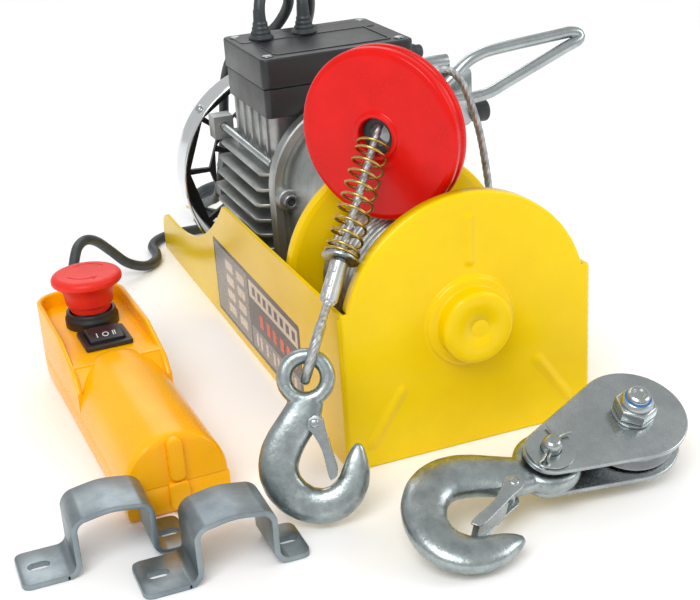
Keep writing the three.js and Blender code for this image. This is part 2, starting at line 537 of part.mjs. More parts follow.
function makePendant() {
  const group = new THREE.Group();
  group.position.set(PENDANT_X, PENDANT_Y, 0);
  group.rotation.z = PENDANT_TURN;
  puller.add(group);
  const lower = bodySection(0, SEAM);
  lower.lineTo(-28.5, SEAM);
  lower.lineTo(-28.5, 8);
  const tray = new THREE.Shape();
  tray.moveTo(-28.5, TRAY_START);
  tray.lineTo(28.5, TRAY_START);
  tray.absarc(12.5, PENDANT_LENGTH - 16, 16, 0, Math.PI / 2, false);
  tray.absarc(-12.5, PENDANT_LENGTH - 16, 16, Math.PI / 2, Math.PI, false);
  const pocket = new THREE.Shape();
  pocket.moveTo(-25, TRAY_START - 5);
  pocket.lineTo(25, TRAY_START - 5);
  pocket.absarc(11.5, PENDANT_LENGTH - 17.5, 13.5, 0, Math.PI / 2, false);
  pocket.absarc(-11.5, PENDANT_LENGTH - 17.5, 13.5, Math.PI / 2, Math.PI, false);
  const plan = cut(prismZ(tray, -1, 60), box(-40, 40, 0, TRAY_START + 1, -2, 61));
  const lowerBody = join(prismY(lower, 0, TRAY_START + 2), prismY(lower, TRAY_START, PENDANT_LENGTH).intersect(plan));
  const lowerRoom = box(-25, 25, 8, PENDANT_LENGTH - 8, 3, SEAM + 1);
  const gland = rod(6.3, PENDANT_LENGTH - 20, PENDANT_LENGTH + 5, 0, 20, 16);
  piece('pendant_lower_shell', cut(lowerBody, lowerRoom, gland), 0xf5a800, 0.4, 0, group);

  const crown = new THREE.Shape();
  crown.moveTo(-28.5, SEAM + GAP);
  crown.lineTo(28.5, SEAM + GAP);
  crown.absellipse(0, SEAM + GAP, 28.5, 29, 0, Math.PI, false, 0);
  const room = new THREE.Shape();
  room.absellipse(0, SEAM, 25.5, 26, 0, Math.PI, false, 0);
  const head = cut(prismZ(tray, SEAM + GAP, 53), prismZ(pocket, TRAY_FLOOR, 60),
    box(-25, 25, TRAY_START + 3, PENDANT_LENGTH - 8, SEAM - 1, TRAY_FLOOR - 3));
  const slope = prismX(outline([[TRAY_START - 1, SEAM + 30], [TRAY_START + 42, 54], [TRAY_START + 42, 60],
    [TRAY_START - 1, 60]]), -40, 40);
  const round = { curveSegments: 16 };
  const barrel = prismY(crown, 0, TRAY_START + 1, round);
  const hollow = prismY(room, 5, TRAY_START + 5, round);
  const loop = join(box(-4, 4, -3, 1, 22, 44), box(-6, 6, -3, 1, 19, 26));
  const cutouts = [prismZ(circleShape(11.3, 0, ESTOP_Y), 30, 50), box(-13, 13, ROCKER_Y - 12.5, ROCKER_Y + 12.5, 30, 50)];
  const upper = cut(join(cut(barrel, hollow), cut(head, slope), loop), ...cutouts, gland);
  piece('pendant_upper_shell', upper, 0xf5a800, 0.4, 0, group);

  const collar = lathe([[0, 28], [11, 28], [11, TRAY_FLOOR + GAP], [16.5, TRAY_FLOOR + GAP], [15, 54], [0, 54]],
    0, 0, 28);
  const upright = (manifold) => manifold.rotate([90, 0, 0]).translate([0, ESTOP_Y, 0]);
  piece('estop_base', upright(collar), BLACK, 0.5, 0, group);
  const mushroom = lathe([[0, 58.5], [14.5, 58.5], [15.5, 70], [21, 72], [21.8, 75], [20.5, 77.5], [0, 79]], 0, 0, 32);
  piece('estop_button', upright(mushroom), 0xd8261c, 0.4, 0, group);
  const opening = box(-10.6, 10.6, ROCKER_Y - 9.6, ROCKER_Y + 9.6, 20, 60);
  const bezel = join(box(-14.5, 14.5, ROCKER_Y - 14, ROCKER_Y + 14, TRAY_FLOOR + GAP, 46.8),
    box(-12.7, 12.7, ROCKER_Y - 12.2, ROCKER_Y + 12.2, 30, 46));
  piece('rocker_frame', cut(bezel, opening), BLACK, 0.5, 0, group);
  const rocker = prismX(outline([[ROCKER_Y - 8.6, 42], [ROCKER_Y + 8.6, 42], [ROCKER_Y + 8.6, 50],
    [ROCKER_Y + 3, 50.6], [ROCKER_Y - 8.6, 47.5]]), -10.2, 10.2);
  piece('rocker_switch', rocker, BLACK, 0.4, 0, group);
  const relief = lathe([[CABLE / 2 + GAP, PENDANT_LENGTH - 14], [6, PENDANT_LENGTH - 14], [6, PENDANT_LENGTH + 3],
    [5, PENDANT_LENGTH + 22], [CABLE / 2 + GAP, PENDANT_LENGTH + 22]], 0, 20, 16);
  piece('pendant_strain_relief', relief, BLACK, 0.6, 0, group);
}

// ---- mounting straps ----------------------------------------------------------------------
function makeStrap(name, x, y) {
  const top = 33;
  const shape = new THREE.Shape();
  shape.moveTo(0, 0);
  shape.lineTo(25, 0);
  shape.quadraticCurveTo(30, 0, 30, 5);
  shape.lineTo(30, top - STRAP - 4);
  shape.quadraticCurveTo(30, top - STRAP, 34, top - STRAP + 0.5);
  shape.quadraticCurveTo(48, top - STRAP + 3.5, 62, top - STRAP + 0.5);
  shape.quadraticCurveTo(66, top - STRAP, 66, top - STRAP - 4);
  shape.lineTo(66, 5);
  shape.quadraticCurveTo(66, 0, 71, 0);
  shape.lineTo(85, 0);
  shape.lineTo(85, STRAP);
  shape.lineTo(71, STRAP);
  shape.quadraticCurveTo(69, STRAP, 69, 5.5);
  shape.lineTo(69, top - 5);
  shape.quadraticCurveTo(69, top, 63, top);
  shape.quadraticCurveTo(48, top + 4, 33, top);
  shape.quadraticCurveTo(27, top, 27, top - 5);
  shape.lineTo(27, 5.5);
  shape.quadraticCurveTo(27, STRAP, 24, STRAP);
  shape.lineTo(0, STRAP);
  const slots = [[8, 13], [74.5, 79.5]].map(([x0, x1]) => prismZ(capsule(x0, -15.8, x1, -15.8, 3.2), -1, 5, { curveSegments: 5 }));
  const strap = cut(prismY(shape, -31.5, 0, { curveSegments: 3 }), ...slots);
  piece(name, strap.translate([x, y, 0]), ZINC, 0.5, 1);
}

// ---- pulley block -------------------------------------------------------------------------
const CLEVIS_X = 55;             // clevis pin to sheave bolt
const PLATE_INNER = 7.6;         // middle of the block to the inside of a side plate
const PLATE_THICK = 3;

// Pear outline: a large round end about the sheave and a small one about the clevis pin.
function pearShape(large, small) {
  const lean = Math.acos((large - small) / CLEVIS_X);
  const shape = new THREE.Shape();
  shape.absarc(0, 0, large, lean, 2 * Math.PI - lean, false);
  shape.absarc(CLEVIS_X, 0, small, -lean, lean, false);
  return shape;
}

function hexagon(acrossFlats) {
  const radius = acrossFlats / Math.sqrt(3);
  return outline(Array.from({ length: 6 }, (_, i) => {
    const angle = (Math.PI * (i + 0.5)) / 3;
    return [radius * Math.cos(angle), radius * Math.sin(angle)];
  }));
}

const upZ = (profile, x, sides) => lathe(profile, 0, 0, sides).rotate([90, 0, 0]).translate([x, 0, 0]);

function makeBlock() {
  const tilt = new THREE.Group();
  tilt.position.copy(BLOCK_CENTRE);
  tilt.rotation.x = BLOCK_TILT;
  puller.add(tilt);
  const group = new THREE.Group();
  group.rotation.z = BLOCK_HEADING;
  tilt.add(group);
  const outside = PLATE_INNER + PLATE_THICK;
  const pear = pearShape(29, 14);
  const bores = [circleShape(6.3), circleShape(5.3, CLEVIS_X)].map((shape) => prismZ(shape, -20, 20, { curveSegments: 8 }));
  [['block_plate_upper', PLATE_INNER], ['block_plate_lower', -outside]].forEach(([name, z]) => {
    piece(name, cut(prismZ(pear, z, z + PLATE_THICK, { curveSegments: 12 }), ...bores), ZINC, 0.35, 1, group);
  });
  const sheave = [[6.4, -6.8], [12, -6.8], [12, -6.2], [25.5, -6.2], [25.5, -4.6], [21, -1.5], [21, 1.5],
    [25.5, 4.6], [25.5, 6.2], [12, 6.2], [12, 6.8], [6.4, 6.8]];
  piece('sheave', upZ(sheave, 0, 24), STEEL, 0.4, 1, group);
  const bolt = join(prismZ(hexagon(18), -outside - 7.6, -outside - GAP), upZ([[0, -outside - 1], [6, -outside - 1],
    [6, outside + 14], [5.2, outside + 15], [0, outside + 15]], 0, 20));
  piece('sheave_bolt', bolt, ZINC, 0.3, 1, group);
  const nutBore = prismZ(circleShape(6.3), 0, 60);
  const nut = join(prismZ(hexagon(19), outside + GAP, outside + 8.5), upZ([[0, outside + 8], [8.8, outside + 8],
    [8.8, outside + 10], [7.6, outside + 11.8], [0, outside + 11.8]], 0, 20));
  piece('sheave_nut', cut(nut, nutBore), ZINC, 0.3, 1, group);
  const pin = upZ([[0, -outside - 3.5], [8, -outside - 3.5], [8, -outside - GAP], [5, -outside - GAP],
    [5, outside + 7.5], [4.2, outside + 8.5], [0, outside + 8.5]], CLEVIS_X, 20);
  piece('clevis_pin', pin, ZINC, 0.3, 1, group);
  const washer = upZ([[5.3, outside + GAP], [12.8, outside + GAP], [12.8, outside + 1.8], [5.3, outside + 1.8]],
    CLEVIS_X, 28);
  piece('clevis_washer', washer, ZINC, 0.3, 1, group);
  const hookGroup = new THREE.Group();
  hookGroup.position.x = CLEVIS_X;
  hookGroup.rotation.z = Math.PI / 2 + BLOCK_HOOK_TURN;
  group.add(hookGroup);
  makeHook('block_hook', 'block_hook_latch', hookGroup, 6.9, BLOCK_HOOK_SIZE);
}

// ---- cables -------------------------------------------------------------------------------
const COIL = { x: 14, y: 470, radius: 44, height: 15.2 };
const PLUG = { x: 82, y: 446.6, z: 13.2 };

function makeCables() {
  const [[, pendantX, pendantY], [, mainsX, mainsY]] = GROMMETS;
  const out = BOX_TOP + 2.2;
  const left = COIL.x - COIL.radius;
  const fromBox = [[pendantX, pendantY, out], [pendantX, pendantY, 207], [-29, 240, 219], [-20, 250, 226],
    [-6, 262, 222], [2, 275, 208], [-2, 292, 190], [-12, 320, 172], [-20, 348, 161], [-24, 366, 135],
    [-26, 376, 90], [left, 386, 52], [left, 402, 38], [left, 425, 36], [left, 452, 33], [left, 467, 27],
    [left, COIL.y, 21], [left, COIL.y, COIL.height + GAP]];
  piece('pendant_cable_upper', tube(fromBox, CABLE / 2, 30), BLACK, 0.6, 0);
  const coil = ring(COIL.radius - 4, COIL.radius + 4, 0.2, COIL.height, 0, 0, 24);
  piece('pendant_cable_coil', coil.rotate([90, 0, 0]).translate([COIL.x, COIL.y, 0]), BLACK, 0.6, 0);
  const reach = PENDANT_LENGTH + 22.3;
  const gland = [PENDANT_X - reach * Math.sin(PENDANT_TURN), PENDANT_Y + reach * Math.cos(PENDANT_TURN), 20];
  const toPendant = [[COIL.x - 29.2, COIL.y - 38.9, 4.2], [-20, 425.5, 4.2], [-32, 421.5, 4.2], [-50, 423.5, 4.2],
    [-66, 423, 4.2], [-80, 415, 4.2], [-87.5, 401, 4.2], [-88, 386, 4.2], [-92.5, 370, 4.2], [-104, 357.5, 6],
    [-118, 353.5, 13], [-129.5, 350, 25.7], [-140.4, 341, 38.4], [-149.6, 332, 44.5], [-157.8, 321, 44.5],
    [-163.5, 308, 40], [-168.5, 294, 33], [-173, 280, 26.5], [-176, 267, 22.3], [-177.8, 256, 20.3], gland];
  piece('pendant_cable_lower', tube(toPendant, CABLE / 2, 36), BLACK, 0.6, 0);
  const mains = [[mainsX, mainsY, out], [mainsX, mainsY, 207], [0, 240, 219], [5, 250, 225], [12, 263, 219],
    [18, 277, 204], [20, 295, 186], [20, 320, 171], [21, 347, 162], [23, 364, 135], [26, 374, 92],
    [34, 384, 54], [48, 398, 32], [64, 408, 19], [77, 418, 13.5], [PLUG.x, 428, PLUG.z],
    [PLUG.x, PLUG.y - 10 - GAP, PLUG.z]];
  piece('mains_cable', tube(mains, CABLE / 2, 32), BLACK, 0.6, 0);
  const body = join(box(-16, 16, 0, 34, -13, 13), rod(9, -10, 2, 0, 0, 16));
  const pins = [-9.5, 9.5].map((x) => rod(2.4, 33, 52, x, 0, 10));
  piece('mains_plug', join(body, ...pins).translate([PLUG.x, PLUG.y, PLUG.z]), BLACK, 0.5, 0);
}

makeFrame();
makeFrontPlate();
makeDrum();
makeGearTrain();
makeGearbox();
makeMotor();
makeEndShield();
makeFan();
makeControlBox();
makeLever();
makeRope();
makeRopeEnd();
makeThimble();
makeRopeHook();
makeStopDisc();
makePendant();
makeStrap('mounting_strap_left', -259.5, -0.5);
makeStrap('mounting_strap_right', -207, -35);
makeBlock();
makeCables();

export default puller;
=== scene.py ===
from math import cos, pi, radians, sin
import bmesh
import bpy
import numpy as np
from mathutils import Matrix, Vector


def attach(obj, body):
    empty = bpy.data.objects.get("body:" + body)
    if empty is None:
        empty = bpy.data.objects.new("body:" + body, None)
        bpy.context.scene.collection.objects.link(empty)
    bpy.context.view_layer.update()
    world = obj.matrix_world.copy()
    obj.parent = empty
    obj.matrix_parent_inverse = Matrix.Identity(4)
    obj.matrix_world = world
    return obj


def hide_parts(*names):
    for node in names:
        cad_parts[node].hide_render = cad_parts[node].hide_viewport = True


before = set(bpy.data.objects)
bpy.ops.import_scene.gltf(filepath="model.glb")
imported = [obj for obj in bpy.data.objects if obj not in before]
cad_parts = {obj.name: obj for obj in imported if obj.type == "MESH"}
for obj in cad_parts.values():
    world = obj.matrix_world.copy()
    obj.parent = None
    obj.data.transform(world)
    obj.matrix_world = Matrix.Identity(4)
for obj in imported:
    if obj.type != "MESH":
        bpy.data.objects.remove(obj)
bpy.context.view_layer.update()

MM = 0.001
FRONT = np.array([0.0, -203.5, 0.0])     # the front end plate's face lies this far from the origin
TAU = 2 * pi


# ---- placing ------------------------------------------------------------------------------
def row(points):
    """Hoist millimetres, with Y counted from the front end plate, to metres in the row frame."""
    return (np.asarray(points, float) + FRONT) * MM


def turned(matrix, points):
    """Points in a piece's own millimetres carried by a 4x4 matrix to hoist millimetres."""
    points = np.asarray(points, float)
    return points @ np.array(matrix.to_3x3()).T + np.array(matrix.translation)


YAW, PITCH, ROLL = radians(20.2), radians(-22.9), radians(-3.8)
LOOK = Vector((sin(YAW) * cos(PITCH), cos(YAW) * cos(PITCH), sin(PITCH)))
LEVEL = Vector((cos(YAW), -sin(YAW), 0))
RISE = LEVEL.cross(LOOK)
RIGHT = LEVEL * cos(ROLL) + RISE * sin(ROLL)
UP = RISE * cos(ROLL) - LEVEL * sin(ROLL)


def basis(x, y, z, origin):
    return Matrix.Translation(Vector(origin)) @ Matrix((x, y, z)).transposed().to_4x4()


def put(name, data):
    """A new object in the scene that holds the data."""
    thing = bpy.data.objects.new(name, data)
    bpy.context.scene.collection.objects.link(thing)
    return thing


def moved(x, y, z):
    return Matrix.Translation((x, y, z))


def spun(degrees, axis="Z"):
    return Matrix.Rotation(radians(degrees), 4, axis)


camera = put("camera", bpy.data.cameras.new("camera"))
camera.data.lens, camera.data.sensor_width = 68.8, 36
camera.data.clip_end = 20
camera.matrix_world = basis(RIGHT, UP, -LOOK, row([-291.2, -604.7, 374.8]))
bpy.context.scene.camera = camera

EYE = np.array([-101.8, -16.8, 72.6])            # the middle of the rope hook's eye
ROPE_RISE = np.array([0.515, 0.458, 0.723])      # the way the straight rope runs, up from that eye
ROPE_RISE /= np.linalg.norm(ROPE_RISE)
DISC_CENTRE = (-30.2, 46.9, 173.2)
DRUM_Z, MOTOR_Z = 76, 80                         # the heights of the drum's and the motor's axes
PIN_X = 55                                       # from the block's axle to its clevis pin
HOOK_FRAME = basis(RIGHT, UP, -LOOK, EYE)
side = Vector(ROPE_RISE).cross(Vector((0, 0, 1))).normalized()
ROPE_FRAME = basis(side, Vector(ROPE_RISE), side.cross(Vector(ROPE_RISE)), EYE)
DISC_FRAME = moved(*DISC_CENTRE) @ spun(37.3 - 90)
BLOCK_FRAME = moved(57.6, -69.7, 28.8) @ spun(22, "X") @ spun(190)
BLOCK_HOOK_FRAME = BLOCK_FRAME @ moved(PIN_X, 0, 0) @ spun(91) @ Matrix.Diagonal((1.18, 1.18, 1.08, 1))
PENDANT = moved(-170, 4, 0) @ spun(2)
TRAY_START, PENDANT_LENGTH, STOP_Y, ROCKER_Y = 101, 218, 175, 143.5
HERE = Matrix.Identity(4)
TO_Z = spun(90, "X")      # a profile turned about Y stands up along Z


# ---- materials ----------------------------------------------------------------------------
def linear(code):
    """An sRGB hex colour as linear red, green, blue and alpha."""
    parts = [int(code[i:i + 2], 16) / 255 for i in (1, 3, 5)]
    return tuple(c / 12.92 if c <= 0.04045 else ((c + 0.055) / 1.055) ** 2.4 for c in parts) + (1,)


def add(tree, kind, links=None, **settings):
    """Adds a node; names of its inputs are set from links, to a value or to another node's output."""
    node = tree.nodes.new("ShaderNode" + kind)
    for key, value in settings.items():
        setattr(node, key, value)
    for key, value in (links or {}).items():
        if isinstance(value, bpy.types.NodeSocket):
            tree.links.new(value, node.inputs[key])
        else:
            node.inputs[key].default_value = value
    return node


def ramp(tree, factor, stops):
    """A colour ramp fed by factor, with stops of (place, hex colour or grey level)."""
    node = add(tree, "ValToRGB", {"Fac": factor})
    band = node.color_ramp
    while len(band.elements) < len(stops):
        band.elements.new(0.5)
    for element, (place, value) in zip(band.elements, stops):
        element.position = place
        element.color = linear(value) if isinstance(value, str) else (value, value, value, 1)
    return node.outputs["Color"]


def finish(name, colours, rough, grain_mm, bump_mm, patch_mm, metallic=0.0, **shader):
    """A surface with broad patches between its two colours, a fine grain in its height and its sheen.

    colours are the lighter and darker shade, rough the least and most roughness, grain_mm and bump_mm
    the width and depth of the grain, patch_mm the width of the patches.
    """
    material = bpy.data.materials.new(name)
    material.use_nodes = True
    tree = material.node_tree
    surface = tree.nodes["Principled BSDF"]
    place = add(tree, "TexCoord").outputs["Object"]
    patches, grain = [
        add(tree, "TexNoise", {"Vector": place, "Scale": 1000 / width, "Detail": detail, "Roughness": fading})
        .outputs["Fac"] for width, detail, fading in [(patch_mm, 5.0, 0.6), (grain_mm, 4.0, 0.65)]]
    colour = ramp(tree, patches, [(0.32, colours[0]), (0.7, colours[1])])
    tree.links.new(colour, surface.inputs["Base Color"])
    both = add(tree, "Math", {0: patches, 1: grain}, operation="ADD")
    sheen = add(tree, "MapRange", {"Value": both.outputs[0], "From Min": 0.7, "From Max": 1.3,
                                   "To Min": rough[0], "To Max": rough[1]})
    tree.links.new(sheen.outputs[0], surface.inputs["Roughness"])
    height = add(tree, "Bump", {"Height": grain, "Distance": bump_mm * MM, "Strength": 0.8})
    tree.links.new(height.outputs["Normal"], surface.inputs["Normal"])
    surface.inputs["Metallic"].default_value = metallic
    for key, value in shader.items():
        surface.inputs[key.replace("_", " ")].default_value = value
    return material


# Sprayed gloss enamel on sheet steel: wet shine over a faint orange peel.
ENAMEL = finish("yellow_gloss_enamel", ("#f3ce00", "#e9c300"), (0.15, 0.27), 2.6, 0.05, 60,
                Specular_IOR_Level=0.25, IOR=1.5)
# Zinc electroplate on rolled steel: blue-white metal with soft cloudy patches and drag marks.
ZINC = finish("bright_zinc_plate", ("#b9bfbf", "#a0a7a8"), (0.2, 0.34), 2.4, 0.012, 14, 1.0)
# Zinc plate on drop forgings: the hammered scale shows through as a pebbled skin.
FORGED = finish("forged_zinc_plate", ("#b4bdbd", "#879192"), (0.22, 0.42), 2.6, 0.2, 9, 1.0)
# Dull zinc on thick strap: greyer, with a fine frosted grain.
DULL_ZINC = finish("dull_zinc_plate", ("#9ca6aa", "#808b91"), (0.36, 0.52), 1.2, 0.05, 22, 1.0)
# Die-cast aluminium, as cast: pale grey, with a sandy skin.
CAST = finish("die_cast_aluminium", ("#bfc2c0", "#9da1a0"), (0.38, 0.56), 1.3, 0.09, 18, 1.0)
MILD = finish("turned_steel", ("#a5a8aa", "#8c9092"), (0.25, 0.4), 1.0, 0.02, 12, 1.0)
CHROME = finish("polished_chrome", ("#e4e7e8", "#d6dadc"), (0.04, 0.09), 3.0, 0.004, 40, 1.0)
SWAGED = finish("swaged_aluminium", ("#d5d7d5", "#bcbfbd"), (0.28, 0.42), 1.2, 0.03, 10, 1.0)
# Yellow chromate over zinc on spring wire: straw gold with an iridescent cloud.
CHROMATE = finish("yellow_chromate_wire", ("#cfb468", "#a8975a"), (0.18, 0.32), 0.9, 0.01, 6, 1.0)
STRANDS = finish("galvanised_wire_rope", ("#cdd0ce", "#8f9393"), (0.38, 0.55), 0.8, 0.02, 5, 1.0)
# Moulded ABS, spark-eroded tool: black with a fine leather-like grain that dulls the shine.
BLACK_ABS = finish("black_moulded_abs", ("#26292b", "#1c1e20"), (0.3, 0.46), 0.9, 0.03, 25, IOR=1.53)
YELLOW_ABS = finish("yellow_moulded_abs", ("#ffb800", "#fbae00"), (0.2, 0.32), 1.1, 0.015, 50,
                    Specular_IOR_Level=0.3, IOR=1.53)
RED_ABS = finish("red_moulded_abs", ("#e00c04", "#cc0803"), (0.18, 0.3), 1.6, 0.02, 30,
                 Specular_IOR_Level=0.25, IOR=1.53)
RED_CAP = finish("red_acetal_cap", ("#e83326", "#dc291d"), (0.28, 0.4), 1.0, 0.015, 20,
                 Specular_IOR_Level=0.3, IOR=1.48)
# Extruded cable sheath and moulded boots: a matt, slightly dusty charcoal.
SHEATH = finish("rubber_cable_sheath", ("#353d40", "#262c2e"), (0.36, 0.55), 0.9, 0.02, 12, IOR=1.52)
NYLON = finish("blue_nylon_insert", ("#3d79b8", "#32699f"), (0.35, 0.45), 0.8, 0.01, 5, IOR=1.53)
PAINTED_MARK = finish("white_printed_mark", ("#e6e6e2", "#d2d2ce"), (0.45, 0.6), 0.6, 0.005, 4)
INNER = finish("white_capacitor_can", ("#dcdcd6", "#c9c9c4"), (0.4, 0.5), 1.0, 0.01, 20)
# Printed polyester film on the frame: smooth and faintly glossy.
PRINT_DARK = finish("dark_printed_film", ("#4b3d36", "#43362f"), (0.2, 0.32), 2.0, 0.005, 60, IOR=1.5)
PRINT_SILVER = finish("silver_printed_film", ("#8f8a86", "#827d79"), (0.22, 0.34), 2.0, 0.005, 50, IOR=1.5)
PRINT_PALE = finish("pale_printed_film", ("#dccfbe", "#cfc2b0"), (0.22, 0.34), 2.0, 0.005, 50, IOR=1.5)
PRINT_ORANGE = finish("orange_printed_film", ("#e2571b", "#d44d15"), (0.22, 0.34), 2.0, 0.005, 50, IOR=1.5)


# ---- meshes -------------------------------------------------------------------------------
def quads(rows, columns, rows_close, columns_close):
    """Corner numbers of the quads between neighbours on a rows by columns grid of points."""
    i, j = np.meshgrid(np.arange(rows if rows_close else rows - 1),
                       np.arange(columns if columns_close else columns - 1), indexing="ij")
    around = [(i, j), (i, j + 1), (i + 1, j + 1), (i + 1, j)]
    return np.stack([(a % rows) * columns + b % columns for a, b in around], -1).reshape(-1, 4)


def shell(points, matrix=HERE, rows_close=False, columns_close=True, caps=True):
    """A mesh through a grid of points: quads between neighbours, with flat caps on the open end rows."""
    rows, columns = points.shape[:2]
    faces = quads(rows, columns, rows_close, columns_close).tolist()
    if caps and not rows_close:
        faces += [list(range(columns))[::-1], list(range((rows - 1) * columns, rows * columns))]
    mesh = bpy.data.meshes.new("shell")
    mesh.from_pydata(row(turned(matrix, points.reshape(-1, 3))).tolist(), [], faces)
    return mesh


def piece(name, meshes, material, body, *nodes, sharp=32, modifiers=()):
    """One object from one or more meshes: doubles merged, faces turned outwards, riding on its body."""
    build = bmesh.new()
    for mesh in meshes if isinstance(meshes, list) else [meshes]:
        build.from_mesh(mesh)
    bmesh.ops.remove_doubles(build, verts=build.verts, dist=2e-6)
    bmesh.ops.recalc_face_normals(build, faces=build.faces)
    mesh = bpy.data.meshes.new(name)
    build.to_mesh(mesh)
    build.free()
    mesh.shade_smooth()
    mesh.set_sharp_from_angle(angle=radians(sharp))
    mesh.materials.append(material)
    thing = put(name, mesh)
    for kind, settings in modifiers:
        modifier = thing.modifiers.new(kind.lower(), kind)
        for key, value in settings.items():
            setattr(modifier, key, value)
    if nodes:
        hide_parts(*nodes)
    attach(thing, body)
    return thing


def eased(profile, radius=0.6, steps=3):
    """A profile with each inner corner cut to a small arc: points on a quadratic curve past the corner."""
    profile = np.asarray(profile, float)
    out = [profile[0]]
    for before, corner, after in zip(profile, profile[1:], profile[2:]):
        a, b = before - corner, after - corner
        la, lb = np.linalg.norm(a), np.linalg.norm(b)
        p, q = corner + a * min(radius / la, 0.45), corner + b * min(radius / lb, 0.45)
        for t in np.linspace(0, 1, steps + 1):
            out.append((1 - t) ** 2 * p + 2 * t * (1 - t) * corner + t * t * q)
    out.append(profile[-1])
    return np.array(out)


def revolved(profile, matrix=HERE, centre=(0, 0, 0), sides=96, closed=False, soft=0.6, ripple=None):
    """A profile of (radius, y) carried round the Y axis: x = r sin a, z = r cos a.

    ripple(a, y) scales the radius for knurls and facets; a closed profile joins its last point to its first.
    """
    profile = np.asarray(profile, float)
    if closed:
        ring = np.vstack([profile[-1], profile, profile[0]])
        profile = eased(ring, soft)[1:-1] if soft else profile
    elif soft:
        profile = eased(profile, soft)
    angle = np.linspace(0, TAU, sides, endpoint=False)
    radius, along = np.repeat(profile[:, :1], sides, axis=1), profile[:, 1:]
    if ripple is not None:
        radius = radius * ripple(angle[None, :], along)
    points = np.stack([radius * np.sin(angle), np.broadcast_to(along, radius.shape),
                       radius * np.cos(angle)], -1)
    return shell(points + np.array(centre), matrix, rows_close=closed, caps=not closed)


def oblong(inner, outer, low, high):
    """The profile of a plain ring or disc: its two radii and its two ends."""
    return [[inner, low], [outer, low], [outer, high], [inner, high]]


def directions(line):
    """The unit direction of a line at each of its points."""
    steps = np.gradient(line, axis=0)
    return steps / np.linalg.norm(steps, axis=1, keepdims=True)


def leftward(line):
    """Unit vectors across a flat line, a quarter turn to the left of its direction."""
    direction = directions(line)
    return np.stack([-direction[:, 1], direction[:, 0]], -1)


def distances(line):
    """How far along a line each of its points lies."""
    return np.concatenate([[0], np.cumsum(np.linalg.norm(np.diff(line, axis=0), axis=1))])


def smooth_path(points, step=2.0):
    """A Catmull-Rom curve through the points, sampled again at even steps of its length."""
    p = np.asarray(points, float)
    p = np.vstack([2 * p[0] - p[1], p, 2 * p[-1] - p[-2]])
    t = np.linspace(0, 1, 24, endpoint=False)[:, None, None]
    a, b, c, d = p[:-3], p[1:-2], p[2:-1], p[3:]
    curve = 0.5 * (2 * b + (c - a) * t + (2 * a - 5 * b + 4 * c - d) * t ** 2
                   + (3 * b - a - 3 * c + d) * t ** 3)
    curve = np.vstack([curve.transpose(1, 0, 2).reshape(-1, 3), p[-2]])
    length = distances(curve)
    even = np.linspace(0, length[-1], max(int(length[-1] / step), 4) + 1)
    return np.stack([np.interp(even, length, curve[:, k]) for k in range(3)], -1)


def swept(path, radius, sides=16, section=None, matrix=HERE, caps=True):
    """A section carried along a path without twist: each frame is the last one turned onto the new tangent.

    radius is one number or one for each point; section(angle, distance) scales it and may wind it round.
    """
    path = np.asarray(path, float)
    tangent, normal = directions(path), np.empty_like(path)
    start = np.array([0, 0, 1.0]) if abs(tangent[0][2]) < 0.9 else np.array([1.0, 0, 0])
    for i, along in enumerate(tangent):
        start = start - along * (start @ along)
        start = start / np.linalg.norm(start)
        normal[i] = start
    across = np.cross(tangent, normal)
    distance = distances(path)[:, None]
    angle = np.linspace(0, TAU, sides, endpoint=False)[None, :]
    size = np.broadcast_to(np.asarray(radius, float).reshape(-1, 1), (len(path), 1)) * np.ones((1, sides))
    if section is not None:
        size = size * section(angle, distance)
    points = (path[:, None] + (size * np.cos(angle))[..., None] * normal[:, None]
              + (size * np.sin(angle))[..., None] * across[:, None])
    return shell(points, matrix, caps=caps)


def arc(x, y, radius, start, end, count=16):
    """Points along an arc about (x, y), from start to end degrees."""
    angle = np.radians(np.linspace(start, end, count))
    return np.stack([x + radius * np.cos(angle), y + radius * np.sin(angle)], -1)


def bar(x0, y0, x1, y1, radius, count=12):
    """A straight bar or slot with round ends, as a closed loop of points."""
    lean = np.degrees(np.arctan2(y1 - y0, x1 - x0))
    return np.vstack([arc(x, y, radius, start, start + 180, count)
                      for x, y, start in [(x1, y1, lean - 90), (x0, y0, lean + 90)]])


def rounded(x0, x1, y0, y1, radius, count=8):
    """A rectangle with round corners, as a closed loop of points."""
    left, right, low, high = x0 + radius, x1 - radius, y0 + radius, y1 - radius
    corners = [(right, low, -90), (right, high, 0), (left, high, 90), (left, low, 180)]
    return np.vstack([arc(x, y, radius, start, start + 90, count) for x, y, start in corners])


def evaluated(thing):
    """A new mesh of the thing as it stands with its modifiers or its curve's depth."""
    bpy.context.view_layer.update()
    return bpy.data.meshes.new_from_object(thing.evaluated_get(bpy.context.evaluated_depsgraph_get()))


def plate(loops, z0, z1, edge=0.4, matrix=HERE):
    """A flat plate between z0 and z1 with its edges eased: an outline, then its holes, filled and raised."""
    curve = bpy.data.curves.new("outline", "CURVE")
    curve.dimensions, curve.fill_mode = "2D", "BOTH"
    curve.extrude, curve.bevel_depth, curve.bevel_resolution = ((z1 - z0) / 2 - edge) * MM, edge * MM, 2
    curve.offset = -edge * MM
    for loop in loops:
        spline = curve.splines.new("POLY")
        spline.points.add(len(loop) - 1)
        spline.points.foreach_set("co", np.hstack([np.asarray(loop) * MM, np.zeros((len(loop), 1)),
                                                   np.ones((len(loop), 1))]).ravel())
        spline.use_cyclic_u = True
    holder = put("outline", curve)
    mesh = evaluated(holder)
    bpy.data.objects.remove(holder)
    bpy.data.curves.remove(curve)
    points = np.empty(len(mesh.vertices) * 3)
    mesh.vertices.foreach_get("co", points)
    points = points.reshape(-1, 3) / MM + [0, 0, (z0 + z1) / 2]
    mesh.vertices.foreach_set("co", row(turned(matrix, points)).ravel())
    return mesh


